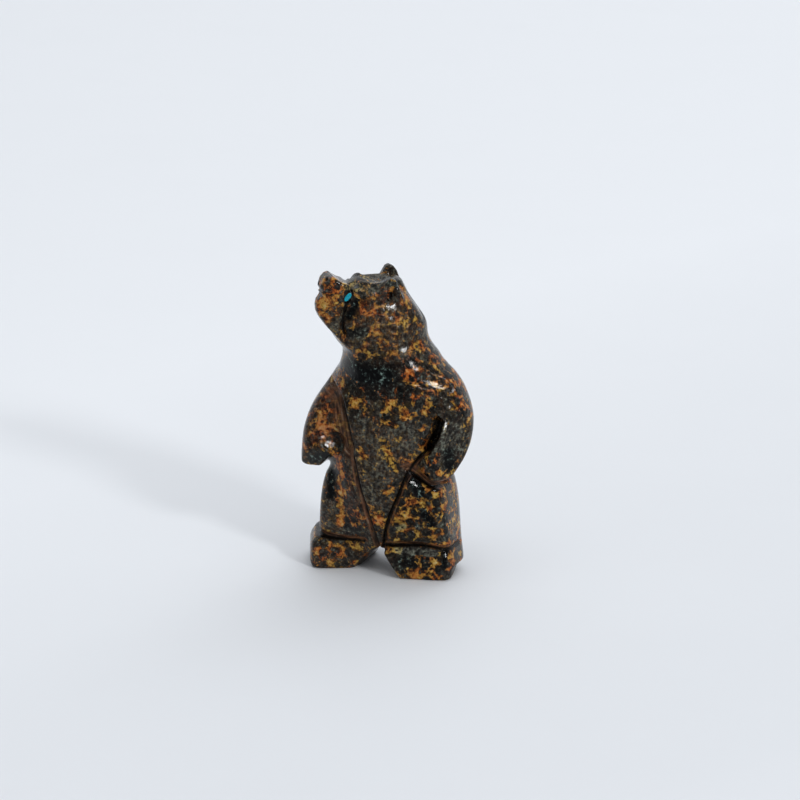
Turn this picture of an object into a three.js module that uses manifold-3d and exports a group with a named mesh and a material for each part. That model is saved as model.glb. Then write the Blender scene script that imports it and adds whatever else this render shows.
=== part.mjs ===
// A small standing bear carved in the round from one pebble of mottled stone, with a
// turquoise eye let into each side of the muzzle. It stands on its own two feet, its arms
// hang close to its flanks, and its head is turned to its right with the snout raised.
// Millimetres. The bear faces -Y, +X is its left and +Z is up. The middle of its feet is
// the origin and the soles lie at zero height.

import * as THREE from 'three';
import { mergeVertices } from 'three/addons/utils/BufferGeometryUtils.js';
import Module from 'manifold-3d';

// The stone's driving sizes come first.

// The head and neck are laid out on axes of their own: fore along the snout, aside toward
// the bear's left, and up. This is how far the snout is turned from straight ahead.
const HEAD_TURN_DEG = 53;

// The side outline of the muzzle and jaw as [fore, up], from the tip of the nose down over
// the lips, chin and throat, then back through the inside of the skull.
const MUZZLE_OUTLINE = [
  [10.3, 53.45], [11.1, 53.3], [11.9, 52.7], [12.4, 51.6], [12.4, 50.7], [12.0, 49.95],
  [12.85, 49.2], [13.1, 48.3], [13.0, 47.2], [12.5, 46.1], [11.3, 44.4], [9.8, 42.7], [7.2, 40.4],
  [4.0, 41.0], [3.5, 46.5], [4.0, 51.0], [6.6, 51.6], [8.8, 52.4],
];
// Half the width of the muzzle as [fore, half width].
const MUZZLE_HALF_WIDTH = [
  [3, 4.0], [6, 3.7], [8.3, 3.2], [10.2, 2.9], [11.6, 2.2], [12.7, 1.2], [14, 0.6],
];
const MUZZLE_EDGE = 0.7;
const MUZZLE_BLEND = 0.8;

// Rounded sections, each [height, centre across, centre front to back, half width, half
// depth]. Those of the neck and skull lie along the head's own axes.
const NECK_SECTIONS = [
  [33, -0.5, 0, 6.0, 6.0], [37, -0.3, 0.3, 7.4, 6.5], [39.6, 0.2, 0, 7.6, 6.5],
  [42.2, 1.4, 0, 8.1, 6.2], [44.7, 1.5, 0, 7.8, 5.9], [47.2, 1.8, 0, 6.6, 5.5],
  [49, 2.0, 0, 5.6, 4.9], [50.5, 2.2, 0, 5.0, 4.3], [52.1, 2.3, 0, 4.5, 3.6],
];
const TRUNK_SECTIONS = [
  [3, 0.3, -0.4, 5.0, 5.2], [10, 0.3, -0.4, 8.0, 6.8], [16, 0.2, -0.4, 9.6, 7.7],
  [22, 0.1, -0.2, 10.3, 8.2], [28, 0, 0, 10.4, 8.3], [33, 0.2, 0.45, 10.1, 7.85],
  [36.5, 0.6, 0.7, 9.1, 7.2], [39, 0.5, 0.5, 7.2, 6.3], [42.5, 0.3, 0, 4.0, 4.0],
];
const LEFT_ARM_SECTIONS = [
  [17.6, 10.8, -5.0, 1.6, 1.6], [19.5, 11.4, -4.9, 3.2, 2.8], [22, 12.0, -3.7, 3.6, 4.0],
  [25.5, 12.1, -1.8, 3.7, 4.6], [29, 11.7, -0.3, 3.6, 4.9], [33, 10.15, 0.8, 3.3, 4.6],
  [35.5, 8.6, 0.9, 3.1, 4.3], [37, 7.4, 1.1, 2.6, 3.5], [38.3, 6.4, 1.3, 2, 2.5],
];
const RIGHT_ARM_SECTIONS = [
  [18.4, -11.6, -5.2, 2.4, 1.6], [19.2, -10.9, -5.0, 3.2, 2.9], [22, -10.6, -4.2, 3.6, 3.9],
  [25.5, -10.6, -2.4, 3.6, 4.8], [29, -9.9, -0.5, 3.5, 4.9], [33, -8.0, 0.8, 3.1, 4.4],
  [36, -6.2, 1.2, 2.8, 3.6], [38, -5.3, 1.3, 2, 2.5],
];
// Flat faces that are ground on the arms and on the left shoulder: a point on each, its
// outward direction and how soft its edge is. That of the shoulder is flat this far round
// its point and then turns up.
const LEFT_ARM_FACES = [{ point: [12.2, -5.6, 28], outward: [0.848, -0.53, 0], edge: 0.7 }];
const RIGHT_ARM_FACES = [
  { point: [-9.0, -7.9, 22.2], outward: [0.1, -0.85, -0.52], edge: 0.3 },
  { point: [-9.15, -6.6, 20.0], outward: [0.72, 0, -0.69], edge: 0.3 },
];
const SHOULDER_FACE = {
  point: [9.8, -2.95, 34.7], outward: [0.607, -0.7, 0.377], edge: 0.5, flat: 1.6, turnUp: 0.3,
};
// The scoop in the front of the right forearm.
const ARM_SCOOP = { centre: [-8.1, -8.3, 24.9], radii: [2.1, 1.9, 3.2], edge: 0.4 };
// Both legs come from one set, set out to each side of a middle line LEG_MIDDLE off centre.
const LEG_SECTIONS = [
  [2, 7.4, 0.1, 5.6, 4.8], [6, 6.9, 0.1, 5.6, 5.5], [8, 6.8, 0, 5.5, 5.9], [13, 6.5, 0, 5.3, 6.3],
  [17, 6.0, 0, 4.9, 6.2], [19.5, 5.6, 0, 4.0, 5.4],
];
const LEG_MIDDLE = 0.65;
// Both feet come from another set, which starts below the floor so that the sole plane
// alone ends them.
const FOOT_SECTIONS = [
  [-2, 0, 0, 6.0, 6.3], [0, 0, 0, 6.0, 6.3], [0.8, 0, 0, 6.2, 6.6], [3.6, 0, 0, 6.15, 6.5],
  [4.4, 0, 0, 6.0, 6.3], [5.6, 0, 0, 5.3, 5.3], [6.0, 0, 0, 5.0, 5.0],
];
const LEFT_FOOT = { x: 6.3, y: -0.3, turnDeg: 13 };
const RIGHT_FOOT = { x: -8.5, y: 0.1, turnDeg: 24 };

// How square the front and the back of each kind of section are: 2 is an ellipse.
const TRUNK_SQUARENESS = { front: 2.5, back: 2.2 };
const ARM_SQUARENESS = { front: 2.4, back: 2.2 };
const NECK_SQUARENESS = { front: 2.4, back: 2.4 };
const LEG_SQUARENESS = { front: 5.0, back: 2.2 };
const FOOT_SQUARENESS = { front: 7.0, back: 2.2 };

// The radius that eases each form into its neighbour, and the edge at each stack's ends.
const NECK_BLEND = 3.0;
const ARM_BLEND = 1.2;
const LEG_BLEND = 1.0;
const FOOT_BLEND = 0.7;
const EAR_BLEND = 0.8;
const SOFT_END = 1.0;
const CROWN_END = 0.6;
const FIRM_END = 0.5;

// The ears are thin upright fins with one outline, [fore, up], moved by fore and lift.
const EAR_OUTLINE = [
  [1.0, 50.0], [0.5, 51.7], [-0.4, 53.2], [-1.0, 53.5], [-1.8, 53.15], [-2.4, 52.3], [-2.8, 51.2],
  [-3.2, 49.4],
];
const EARS = [
  { aside: 3.75, fore: 1.7, lift: -0.45 },
  { aside: -4.0, fore: 0, lift: 0 },
];
const EAR_HALF_THICKNESS = 0.95;
const EAR_EDGE = 0.6;

// The brow, a low bar across the head, and a shallow scoop between it and the ears, on the
// head's own axes.
const BROW = { centre: [4.9, -0.2, 51.8], radii: [1.3, 3.4, 1.0], blend: 0.6 };
const CROWN_SCOOP = { centre: [2.3, -0.4, 52.9], radii: [3.0, 3.0, 1.4], edge: 0.4 };

// The stub of a tail low on the back.
const TAIL = { centre: [0.2, 7.0, 10.2], radii: [1.6, 1.9, 2.2], blend: 1.2 };

// The opening between the feet as [across, up]. The right foot's inner corner is cut
// away in front, which widens the opening there.
const ARCH_OUTLINE = [
  [-4.3, -2], [-4.2, 0], [-2.2, 2.6], [0.4, 4.8], [2.4, 3.6], [3.8, 1.8], [4.9, 0], [5.0, -2],
];
const ARCH_EDGE = 0.5;
const INNER_CORNER = { cut: 0.9, startsAt: 2.5, fullAt: 6.5, fadeTo: 3 };
const SOLE_EDGE = 0.3;

// Lines carved down the front as [across, up]: the two sides of the belly, the right
// armpit, the pocket behind the left arm and the top of the left thigh.
const BELLY_CUT = { halfWidth: 1.3, depth: 0.7 };
const ARMPIT_CUT = { halfWidth: 2.1, depth: 1.7 };
const CARVED_LINES = [
  { path: [[-3.8, 24.2], [-3.0, 20.5], [-2.0, 15.7], [-1.0, 12.0], [0.6, 4.6]], ...BELLY_CUT },
  { path: [[9.8, 25.0], [7.8, 22.2], [6.2, 19.3], [4.6, 15.2], [2.5, 10.2], [1.0, 4.6]], ...BELLY_CUT },
  { path: [[-10.0, 33.4], [-7.0, 31.8], [-5.4, 28.6], [-4.5, 25.6], [-3.8, 23.4]], ...ARMPIT_CUT },
  { path: [[11.1, 28.6], [10.7, 26.6], [10.2, 25.2], [9.6, 24.0]], ...ARMPIT_CUT },
  { path: [[6.4, 19.7], [8.1, 18.1], [10.2, 17.0], [12.6, 16.8]], ...BELLY_CUT },
];
const CARVING_ROUNDNESS = 1.2;
// The carving fades in from the flank to the front, measured forward from the middle.
const CARVING_STARTS = 0.5;
const CARVING_FULL = 3.5;

// The eyes are oval turquoise studs on the muzzle's sides, on the head's own axes. The long
// way of the oval leans forward and down.
const EYE = {
  fore: 8.05, aside: 3.2, up: 50.0, halfLength: 0.85, halfWidth: 0.42, depth: 1.0, dome: 0.22,
};
const EYE_LEAN_DEG = 52;
const EYE_FACES_FORE_DEG = 8;
const SOCKET_GAP = 0.25;

// The size of the facets, and the space that they cover.
const FACET = 1.15;
const BEAR_LOW = [-16, -10, 0];
const BEAR_HIGH = [16, 10, 55];

// Where the middle of the stone's box lies on the axes above. It is moved to the origin.
const MIDDLE = { x: 0.28, y: 0.056 };

// Small tools for distances, which are negative inside the stone

const smoothMin = (a, b, radius) => {
  const h = Math.max(radius - Math.abs(a - b), 0) / radius;
  return Math.min(a, b) - h * h * radius / 4;
};
const smoothMax = (a, b, radius) => -smoothMin(-a, -b, radius);
const ramp = (t, from, to) => {
  const u = Math.min(Math.max((t - from) / (to - from), 0), 1);
  return u * u * (3 - 2 * u);
};

// A smooth curve through one column of the keys, level at both ends. A key is a place and
// the values there.
function curveThrough(keys, column) {
  const slope = keys.map((key, i) => {
    if (i === 0 || i === keys.length - 1) return 0;
    return (keys[i + 1][column] - keys[i - 1][column]) / (keys[i + 1][0] - keys[i - 1][0]);
  });
  return (place) => {
    const last = keys.length - 1;
    const t = Math.min(Math.max(place, keys[0][0]), keys[last][0]);
    let i = 0;
    while (i < last - 1 && t > keys[i + 1][0]) i += 1;
    const width = keys[i + 1][0] - keys[i][0];
    const s = (t - keys[i][0]) / width;
    return (1 + 2 * s) * (1 - s) ** 2 * keys[i][column] + s * (1 - s) ** 2 * width * slope[i]
      + s * s * (3 - 2 * s) * keys[i + 1][column] + s * s * (s - 1) * width * slope[i + 1];
  };
}

// A stack of rounded sections as one form.
function stack(sections, squareness, endEdge) {
  const columns = [1, 2, 3, 4];
  const [acrossAt, frontAt, widthAt, depthAt] = columns.map((column) => curveThrough(sections, column));
  const bottom = sections[0][0];
  const top = sections[sections.length - 1][0];
  const deepInside = 0.3;
  return (x, y, z) => {
    const u = x - acrossAt(z);
    const v = y - frontAt(z);
    const a = widthAt(z);
    const b = depthAt(z);
    const n = v < 0 ? squareness.front : squareness.back;
    const g = (Math.abs(u / a) ** n + Math.abs(v / b) ** n) ** (1 / n);
    const side = g < deepInside ? (deepInside - 1) * Math.min(a, b) : Math.hypot(u, v) * (1 - 1 / g);
    return smoothMax(side, Math.max(bottom - z, z - top), endEdge);
  };
}

// A closed outline in a plane.
function outlineDistance(outline) {
  return (u, v) => {
    let nearest = Infinity;
    let inside = false;
    outline.forEach(([au, av], i) => {
      const [bu, bv] = outline[(i + 1) % outline.length];
      const [eu, ev, wu, wv] = [bu - au, bv - av, u - au, v - av];
      const t = Math.min(Math.max((wu * eu + wv * ev) / (eu * eu + ev * ev), 0), 1);
      nearest = Math.min(nearest, Math.hypot(wu - t * eu, wv - t * ev));
      if ((v >= av) !== (v >= bv) && u < au + (v - av) * eu / ev) inside = !inside;
    });
    return inside ? -nearest : nearest;
  };
}

// An open path in a plane, eased through its points.
function pathDistance(path) {
  const stepsPerSpan = 4;
  const points3 = path.map(([u, v]) => new THREE.Vector3(u, v, 0));
  const curve = new THREE.CatmullRomCurve3(points3, false, 'catmullrom');
  const points = curve.getPoints(stepsPerSpan * (path.length - 1));
  return (u, v) => {
    let nearest = Infinity;
    for (let i = 0; i + 1 < points.length; i += 1) {
      const [a, b] = [points[i], points[i + 1]];
      const [eu, ev, wu, wv] = [b.x - a.x, b.y - a.y, u - a.x, v - a.y];
      const t = Math.min(Math.max((wu * eu + wv * ev) / (eu * eu + ev * ev), 0), 1);
      nearest = Math.min(nearest, Math.hypot(wu - t * eu, wv - t * ev));
    }
    return nearest;
  };
}

function ellipsoid({ centre, radii }) {
  return (x, y, z) => {
    const q = [x - centre[0], y - centre[1], z - centre[2]];
    const near = Math.hypot(q[0] / radii[0], q[1] / radii[1], q[2] / radii[2]);
    const steep = Math.hypot(q[0] / radii[0] ** 2, q[1] / radii[1] ** 2, q[2] / radii[2] ** 2);
    return steep === 0 ? -Math.min(...radii) : near * (near - 1) / steep;
  };
}

// How far a place lies beyond a flat face.
function beyond({ point, outward }) {
  const direction = new THREE.Vector3(...outward).normalize();
  const reach = direction.dot(new THREE.Vector3(...point));
  return (x, y, z) => direction.x * x + direction.y * y + direction.z * z - reach;
}

// The head

const headTurn = THREE.MathUtils.degToRad(HEAD_TURN_DEG);
const FORE = new THREE.Vector3(-Math.sin(headTurn), -Math.cos(headTurn), 0);
const ASIDE = new THREE.Vector3(Math.cos(headTurn), -Math.sin(headTurn), 0);
const UP = new THREE.Vector3(0, 0, 1);

const muzzleOutline = outlineDistance(MUZZLE_OUTLINE);
const muzzleHalfWidth = curveThrough(MUZZLE_HALF_WIDTH, 1);
const neck = stack(NECK_SECTIONS, NECK_SQUARENESS, CROWN_END);
const earOutline = outlineDistance(EAR_OUTLINE);
const brow = ellipsoid(BROW);
const crownScoop = ellipsoid(CROWN_SCOOP);

function head(x, y, z) {
  const fore = x * FORE.x + y * FORE.y;
  const aside = x * ASIDE.x + y * ASIDE.y;
  const muzzleSide = Math.abs(aside) - muzzleHalfWidth(fore);
  const muzzle = smoothMax(muzzleOutline(fore, z), muzzleSide, MUZZLE_EDGE);
  let form = smoothMin(neck(fore, aside, z), muzzle, MUZZLE_BLEND);
  form = smoothMin(form, brow(fore, aside, z), BROW.blend);
  EARS.forEach((ear) => {
    const side = Math.abs(aside - ear.aside) - EAR_HALF_THICKNESS;
    const fin = smoothMax(earOutline(fore - ear.fore, z - ear.lift), side, EAR_EDGE);
    form = smoothMin(form, fin, EAR_BLEND);
  });
  return smoothMax(form, -crownScoop(fore, aside, z), CROWN_SCOOP.edge);
}

// The body

const trunk = stack(TRUNK_SECTIONS, TRUNK_SQUARENESS, SOFT_END);
const arms = [[LEFT_ARM_SECTIONS, LEFT_ARM_FACES], [RIGHT_ARM_SECTIONS, RIGHT_ARM_FACES]]
  .map(([sections, faces]) => {
    const whole = stack(sections, ARM_SQUARENESS, SOFT_END);
    const cuts = faces.map((face) => ({ past: beyond(face), edge: face.edge }));
    return (x, y, z) => (
      cuts.reduce((form, { past, edge }) => smoothMax(form, past(x, y, z), edge), whole(x, y, z)));
  });
const pastShoulder = beyond(SHOULDER_FACE);
const armScoop = ellipsoid(ARM_SCOOP);
const leg = stack(LEG_SECTIONS, LEG_SQUARENESS, FIRM_END);
const footForm = stack(FOOT_SECTIONS, FOOT_SQUARENESS, FIRM_END);
const feet = [LEFT_FOOT, RIGHT_FOOT].map(({ x, y, turnDeg }) => {
  const turn = THREE.MathUtils.degToRad(turnDeg);
  const [c, s] = [Math.cos(turn), Math.sin(turn)];
  return (px, py, pz) => footForm((px - x) * c + (py - y) * s, (py - y) * c - (px - x) * s, pz);
});
const tail = ellipsoid(TAIL);
const arch = outlineDistance(ARCH_OUTLINE);
const carvings = CARVED_LINES.map((line) => ({ ...line, near: pathDistance(line.path) }));

function bear(x, y, z) {
  let form = trunk(x, y, z);
  arms.forEach((arm) => { form = smoothMin(form, arm(x, y, z), ARM_BLEND); });
  form = smoothMin(form, head(x, y, z), NECK_BLEND);
  const [px, py, pz] = SHOULDER_FACE.point;
  const round = Math.max(Math.hypot(x - px, y - py, z - pz) - SHOULDER_FACE.flat, 0);
  const pastFace = pastShoulder(x, y, z) - SHOULDER_FACE.turnUp * round;
  form = smoothMax(form, pastFace, SHOULDER_FACE.edge);
  form = smoothMin(form, leg(Math.abs(x - LEG_MIDDLE), y, z), LEG_BLEND);
  feet.forEach((foot) => { form = smoothMin(form, foot(x, y, z), FOOT_BLEND); });
  form = smoothMin(form, tail(x, y, z), TAIL.blend);
  const cuts = carvings.map(({ near, halfWidth, depth }) => (
    depth * Math.max(1 - near(x, z) / halfWidth, 0) ** CARVING_ROUNDNESS));
  form += Math.max(...cuts) * ramp(-y, CARVING_STARTS, CARVING_FULL);
  form = smoothMax(form, -armScoop(x, y, z), ARM_SCOOP.edge);
  const widened = INNER_CORNER.cut * ramp(-y, INNER_CORNER.startsAt, INNER_CORNER.fullAt)
    * ramp(-x, 0, INNER_CORNER.fadeTo);
  form = smoothMax(form, widened - arch(x, z), ARCH_EDGE);
  return smoothMax(form, -z, SOLE_EDGE);
}

// The stone's surface

// Covers a form with facets: one point in each cell that the surface crosses, drawn onto
// the surface itself, and four of them joined around each crossed edge of the grid.
function cover(form, low, high, cell) {
  const margin = 2;
  const start = low.map((v) => v - margin - cell / 2);
  const count = high.map((v, i) => Math.ceil((v + margin - start[i]) / cell) + 1);
  const stride = [1, count[0], count[0] * count[1]];
  const value = new Float64Array(count[0] * count[1] * count[2]);
  const node = (i, j, k) => i + j * stride[1] + k * stride[2];
  const place = (i, j, k) => [start[0] + i * cell, start[1] + j * cell, start[2] + k * cell];
  for (let k = 0; k < count[2]; k += 1) {
    for (let j = 0; j < count[1]; j += 1) {
      for (let i = 0; i < count[0]; i += 1) value[node(i, j, k)] = form(...place(i, j, k));
    }
  }
  const slopeAt = ([x, y, z]) => {
    const e = 0.02;
    return [form(x + e, y, z) - form(x - e, y, z), form(x, y + e, z) - form(x, y - e, z),
      form(x, y, z + e) - form(x, y, z - e)].map((v) => v / (2 * e));
  };
  const drawOn = (point) => {
    const drawSteps = 6;
    const furthest = 0.6 * cell;
    const flattest = 1e-6;
    const p = [...point];
    for (let step = 0; step < drawSteps; step += 1) {
      const g = slopeAt(p);
      const reach = form(...p) / Math.max(g[0] ** 2 + g[1] ** 2 + g[2] ** 2, flattest);
      for (let axis = 0; axis < 3; axis += 1) {
        const moved = p[axis] - reach * g[axis];
        p[axis] = Math.min(Math.max(moved, point[axis] - furthest), point[axis] + furthest);
      }
    }
    return p;
  };
  const corners = [0, 1, 2, 3, 4, 5, 6, 7].map((n) => [n & 1, (n >> 1) & 1, n >> 2]);
  const edges = [];
  for (let n = 0; n < corners.length; n += 1) {
    [1, 2, 4].forEach((bit) => {
      if (!(n & bit)) edges.push([n, n | bit]);
    });
  }
  const sideFaces = [0, 1, 2].flatMap((axis) => [0, 1].map((end) => (
    edges.filter(([a, b]) => corners[a][axis] === end && corners[b][axis] === end))));
  // Where two sheets of the surface pass through one cell, each gets a point of its own:
  // the crossed edges that meet on a side of the cell belong to one sheet.
  const sheetsOf = (at) => {
    const crossed = ([a, b]) => (at[a] < 0) !== (at[b] < 0);
    const sheets = edges.filter(crossed).map((edge) => [edge]);
    const join = (a, b) => {
      const [p, q] = [a, b].map((edge) => sheets.findIndex((sheet) => sheet.includes(edge)));
      if (p !== q) sheets[p].push(...sheets.splice(q, 1)[0]);
    };
    sideFaces.forEach((side) => {
      const met = side.filter(crossed);
      if (met.length === 2) join(met[0], met[1]);
      if (met.length === 4) {
        met.forEach((edge, i) => met.slice(i + 1).forEach((other) => {
          const shared = edge.find((corner) => other.includes(corner));
          if (shared !== undefined && at[shared] < 0) join(edge, other);
        }));
      }
    });
    return sheets;
  };
  const pointOf = new Map();
  const points = [];
  for (let k = 0; k + 1 < count[2]; k += 1) {
    for (let j = 0; j + 1 < count[1]; j += 1) {
      for (let i = 0; i + 1 < count[0]; i += 1) {
        const at = corners.map(([a, b, c]) => value[node(i + a, j + b, k + c)]);
        sheetsOf(at).forEach((sheet) => {
          const mean = [0, 0, 0];
          sheet.forEach(([a, b]) => {
            const t = at[a] / (at[a] - at[b]);
            corners[a].forEach((v, axis) => {
              mean[axis] += (v + t * (corners[b][axis] - v)) / sheet.length;
            });
            pointOf.set(`${node(i, j, k)} ${a} ${b}`, points.length);
          });
          points.push(drawOn(place(i + mean[0], j + mean[1], k + mean[2])));
        });
      }
    }
  }
  const faces = [];
  const middle = (a, b) => points[a].map((v, axis) => (v + points[b][axis]) / 2);
  const offSurface = (a, b) => Math.abs(form(...middle(a, b)));
  const around = (a, b, c, d) => {
    if (offSurface(a, c) <= offSurface(b, d)) faces.push(a, b, c, a, c, d);
    else faces.push(a, b, d, b, c, d);
  };
  for (let k = 1; k + 1 < count[2]; k += 1) {
    for (let j = 1; j + 1 < count[1]; j += 1) {
      for (let i = 1; i + 1 < count[0]; i += 1) {
        const here = node(i, j, k);
        [1, 2, 4].forEach((along, axis) => {
          const inside = value[here] < 0;
          if (inside !== (value[here + stride[axis]] < 0)) {
            const [next, last] = [(axis + 1) % 3, (axis + 2) % 3];
            const ring = [[0, 0], [1, 0], [1, 1], [0, 1]].map(([p, q]) => {
              const corner = (p << next) | (q << last);
              const cellNode = here - p * stride[next] - q * stride[last];
              return pointOf.get(`${cellNode} ${corner} ${corner | along}`);
            });
            if (inside) around(...ring);
            else around(...ring.reverse());
          }
        });
      }
    }
  }
  const geometry = new THREE.BufferGeometry();
  geometry.setAttribute('position', new THREE.Float32BufferAttribute(points.flat(), 3));
  geometry.setIndex(faces);
  return geometry;
}

// The eyes

// An oval stud with a low domed face, its back at zero and its face up, made larger all
// round by the amount given.
function eyeStud(grow) {
  const domeSteps = 3;
  const sides = 20;
  const edge = 1 + grow / EYE.halfLength;
  const face = EYE.depth + grow;
  const profile = [new THREE.Vector2(0, -grow), new THREE.Vector2(edge, -grow)];
  for (let i = 0; i < domeSteps; i += 1) {
    const angle = (i / domeSteps) * Math.PI / 2;
    profile.push(new THREE.Vector2(edge * Math.cos(angle), face + EYE.dome * Math.sin(angle)));
  }
  profile.push(new THREE.Vector2(0, face + EYE.dome));
  const stud = new THREE.LatheGeometry(profile, sides);
  stud.rotateX(Math.PI / 2);
  stud.scale(EYE.halfLength, (EYE.halfWidth + grow) / edge, 1);
  return stud;
}

// Where an eye lies: its long way, its short way and outward as the columns of a matrix.
function eyePlace(side) {
  const lean = THREE.MathUtils.degToRad(EYE_LEAN_DEG);
  const toFore = THREE.MathUtils.degToRad(EYE_FACES_FORE_DEG);
  const outward = ASIDE.clone().multiplyScalar(side * Math.cos(toFore));
  outward.addScaledVector(FORE, Math.sin(toFore));
  const level = FORE.clone().addScaledVector(outward, -FORE.dot(outward)).normalize();
  const long = level.multiplyScalar(Math.cos(lean)).addScaledVector(UP, -Math.sin(lean));
  const short = new THREE.Vector3().crossVectors(outward, long);
  const centre = FORE.clone().multiplyScalar(EYE.fore).addScaledVector(ASIDE, side * EYE.aside)
    .addScaledVector(UP, EYE.up).addScaledVector(outward, -EYE.depth);
  return new THREE.Matrix4().makeBasis(long, short, outward).setPosition(centre);
}

// Cutting

const wasm = await Module();
wasm.setup();

function toSolid(geometry) {
  const samePlace = 1e-5;
  const bare = geometry.clone();
  bare.deleteAttribute('normal');
  bare.deleteAttribute('uv');
  const merged = mergeVertices(bare, samePlace);
  const triVerts = new Uint32Array(merged.index.array);
  const vertProperties = new Float32Array(merged.attributes.position.array);
  return new wasm.Manifold(new wasm.Mesh({ numProp: 3, vertProperties, triVerts }));
}

function toGeometry(solid) {
  const mesh = solid.getMesh();
  const geometry = new THREE.BufferGeometry();
  geometry.setAttribute('position', new THREE.BufferAttribute(new Float32Array(mesh.vertProperties), 3));
  geometry.setIndex(new THREE.BufferAttribute(new Uint32Array(mesh.triVerts), 1));
  geometry.computeVertexNormals();
  return geometry;
}

const stone = new THREE.MeshStandardMaterial({ color: '#6d5a3f', roughness: 0.28, metalness: 0 });
const inlay = new THREE.MeshStandardMaterial({ color: '#18a5b8', roughness: 0.3, metalness: 0 });

const carving = new THREE.Group();
carving.position.set(-MIDDLE.x, -MIDDLE.y, 0);

let body = toSolid(cover(bear, BEAR_LOW, BEAR_HIGH, FACET));
const eyes = [['eye_left', 1], ['eye_right', -1]].map(([name, side]) => {
  body = body.subtract(toSolid(eyeStud(SOCKET_GAP).applyMatrix4(eyePlace(side))));
  const eye = new THREE.Mesh(eyeStud(0), inlay.clone());
  eye.name = name;
  eyePlace(side).decompose(eye.position, eye.quaternion, eye.scale);
  return eye;
});

const bearMesh = new THREE.Mesh(toGeometry(body), stone);
bearMesh.name = 'bear';
carving.add(bearMesh, ...eyes);

export default carving;
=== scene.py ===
import math

import bpy
import numpy as np
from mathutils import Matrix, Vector


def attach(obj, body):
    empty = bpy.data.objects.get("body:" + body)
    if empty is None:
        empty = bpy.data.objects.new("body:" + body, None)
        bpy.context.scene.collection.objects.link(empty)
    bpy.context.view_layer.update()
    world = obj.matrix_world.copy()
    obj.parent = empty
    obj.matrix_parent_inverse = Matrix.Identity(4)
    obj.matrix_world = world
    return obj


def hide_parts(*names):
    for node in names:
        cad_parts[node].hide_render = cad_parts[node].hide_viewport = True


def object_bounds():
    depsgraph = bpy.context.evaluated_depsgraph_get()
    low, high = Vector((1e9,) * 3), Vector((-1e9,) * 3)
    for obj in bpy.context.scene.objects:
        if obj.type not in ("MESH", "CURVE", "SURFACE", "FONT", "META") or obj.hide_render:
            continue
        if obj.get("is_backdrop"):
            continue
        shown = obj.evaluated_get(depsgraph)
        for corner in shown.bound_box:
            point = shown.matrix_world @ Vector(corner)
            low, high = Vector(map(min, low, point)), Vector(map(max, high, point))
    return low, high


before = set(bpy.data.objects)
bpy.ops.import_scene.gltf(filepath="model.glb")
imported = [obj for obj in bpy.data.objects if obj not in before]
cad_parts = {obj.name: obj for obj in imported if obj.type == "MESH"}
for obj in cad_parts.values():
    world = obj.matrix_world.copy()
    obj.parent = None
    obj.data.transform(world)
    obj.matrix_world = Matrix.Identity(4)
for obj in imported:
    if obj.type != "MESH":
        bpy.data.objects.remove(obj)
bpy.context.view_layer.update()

# The bear
# One pebble of mottled jasper, charcoal grey with ochre and orange running through it. It
# is ground to a standing bear on a wheel, its grooves are opened with a narrow saw and a
# file, and all but the walls of those grooves is sanded and buffed to a wet gloss.

MM = 0.001
# The head is turned to the bear's right. FORE and ASIDE are its own axes, seen from above.
HEAD_TURN = math.radians(53)
FORE = np.array([-math.sin(HEAD_TURN), -math.cos(HEAD_TURN)])
ASIDE = np.array([math.cos(HEAD_TURN), -math.sin(HEAD_TURN)])
# Where the middle of the carving's box lies on the axes that its sizes are given on, in mm.
MIDDLE = np.array([0.28, 0.056, 0.0])

# The side outline of the muzzle and jaw as (fore, up), and its half width as (fore, half).
MUZZLE = [
    (10.3, 53.45), (11.1, 53.3), (11.9, 52.7), (12.4, 51.6), (12.4, 50.7), (12.0, 49.95),
    (12.85, 49.2), (13.1, 48.3), (13.0, 47.2), (12.5, 46.1), (11.3, 44.4), (9.8, 42.7),
    (7.2, 40.4), (4.0, 41.0), (3.5, 46.5), (4.0, 51.0), (6.6, 51.6), (8.8, 52.4),
]
MUZZLE_HALF = [(3, 4.0), (6, 3.7), (8.3, 3.2), (10.2, 2.9), (11.6, 2.2), (12.7, 1.2), (14, 0.6)]
# Rounded sections, each (height, across, front to back, half width, half depth).
NECK = [
    (33, -0.5, 0, 6.0, 6.0), (37, -0.3, 0.3, 7.4, 6.5), (39.6, 0.2, 0, 7.6, 6.5),
    (42.2, 1.4, 0, 8.1, 6.2), (44.7, 1.5, 0, 7.8, 5.9), (47.2, 1.8, 0, 6.6, 5.5),
    (49, 2.0, 0, 5.6, 4.9), (50.5, 2.2, 0, 5.0, 4.3), (52.1, 2.3, 0, 4.5, 3.6),
]
TRUNK = [
    (3, 0.3, -0.4, 5.0, 5.2), (10, 0.3, -0.4, 8.0, 6.8), (16, 0.2, -0.4, 9.6, 7.7),
    (22, 0.1, -0.2, 10.3, 8.2), (28, 0, 0, 10.4, 8.3), (33, 0.2, 0.45, 10.1, 7.85),
    (36.5, 0.6, 0.7, 9.1, 7.2), (39, 0.5, 0.5, 7.2, 6.3), (42.5, 0.3, 0, 4.0, 4.0),
]
LEFT_ARM = [
    (17.6, 10.8, -5.0, 1.6, 1.6), (19.5, 11.4, -4.9, 3.2, 2.8), (22, 12.0, -3.7, 3.6, 4.0),
    (25.5, 12.1, -1.8, 3.7, 4.6), (29, 11.7, -0.3, 3.6, 4.9), (33, 10.15, 0.8, 3.3, 4.6),
    (35.5, 8.6, 0.9, 3.1, 4.3), (37, 7.4, 1.1, 2.6, 3.5), (38.3, 6.4, 1.3, 2, 2.5),
]
RIGHT_ARM = [
    (18.4, -11.6, -5.2, 2.4, 1.6), (19.2, -10.9, -5.0, 3.2, 2.9), (22, -10.6, -4.2, 3.6, 3.9),
    (25.5, -10.6, -2.4, 3.6, 4.8), (29, -9.9, -0.5, 3.5, 4.9), (33, -8.0, 0.8, 3.1, 4.4),
    (36, -6.2, 1.2, 2.8, 3.6), (38, -5.3, 1.3, 2, 2.5),
]
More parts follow.
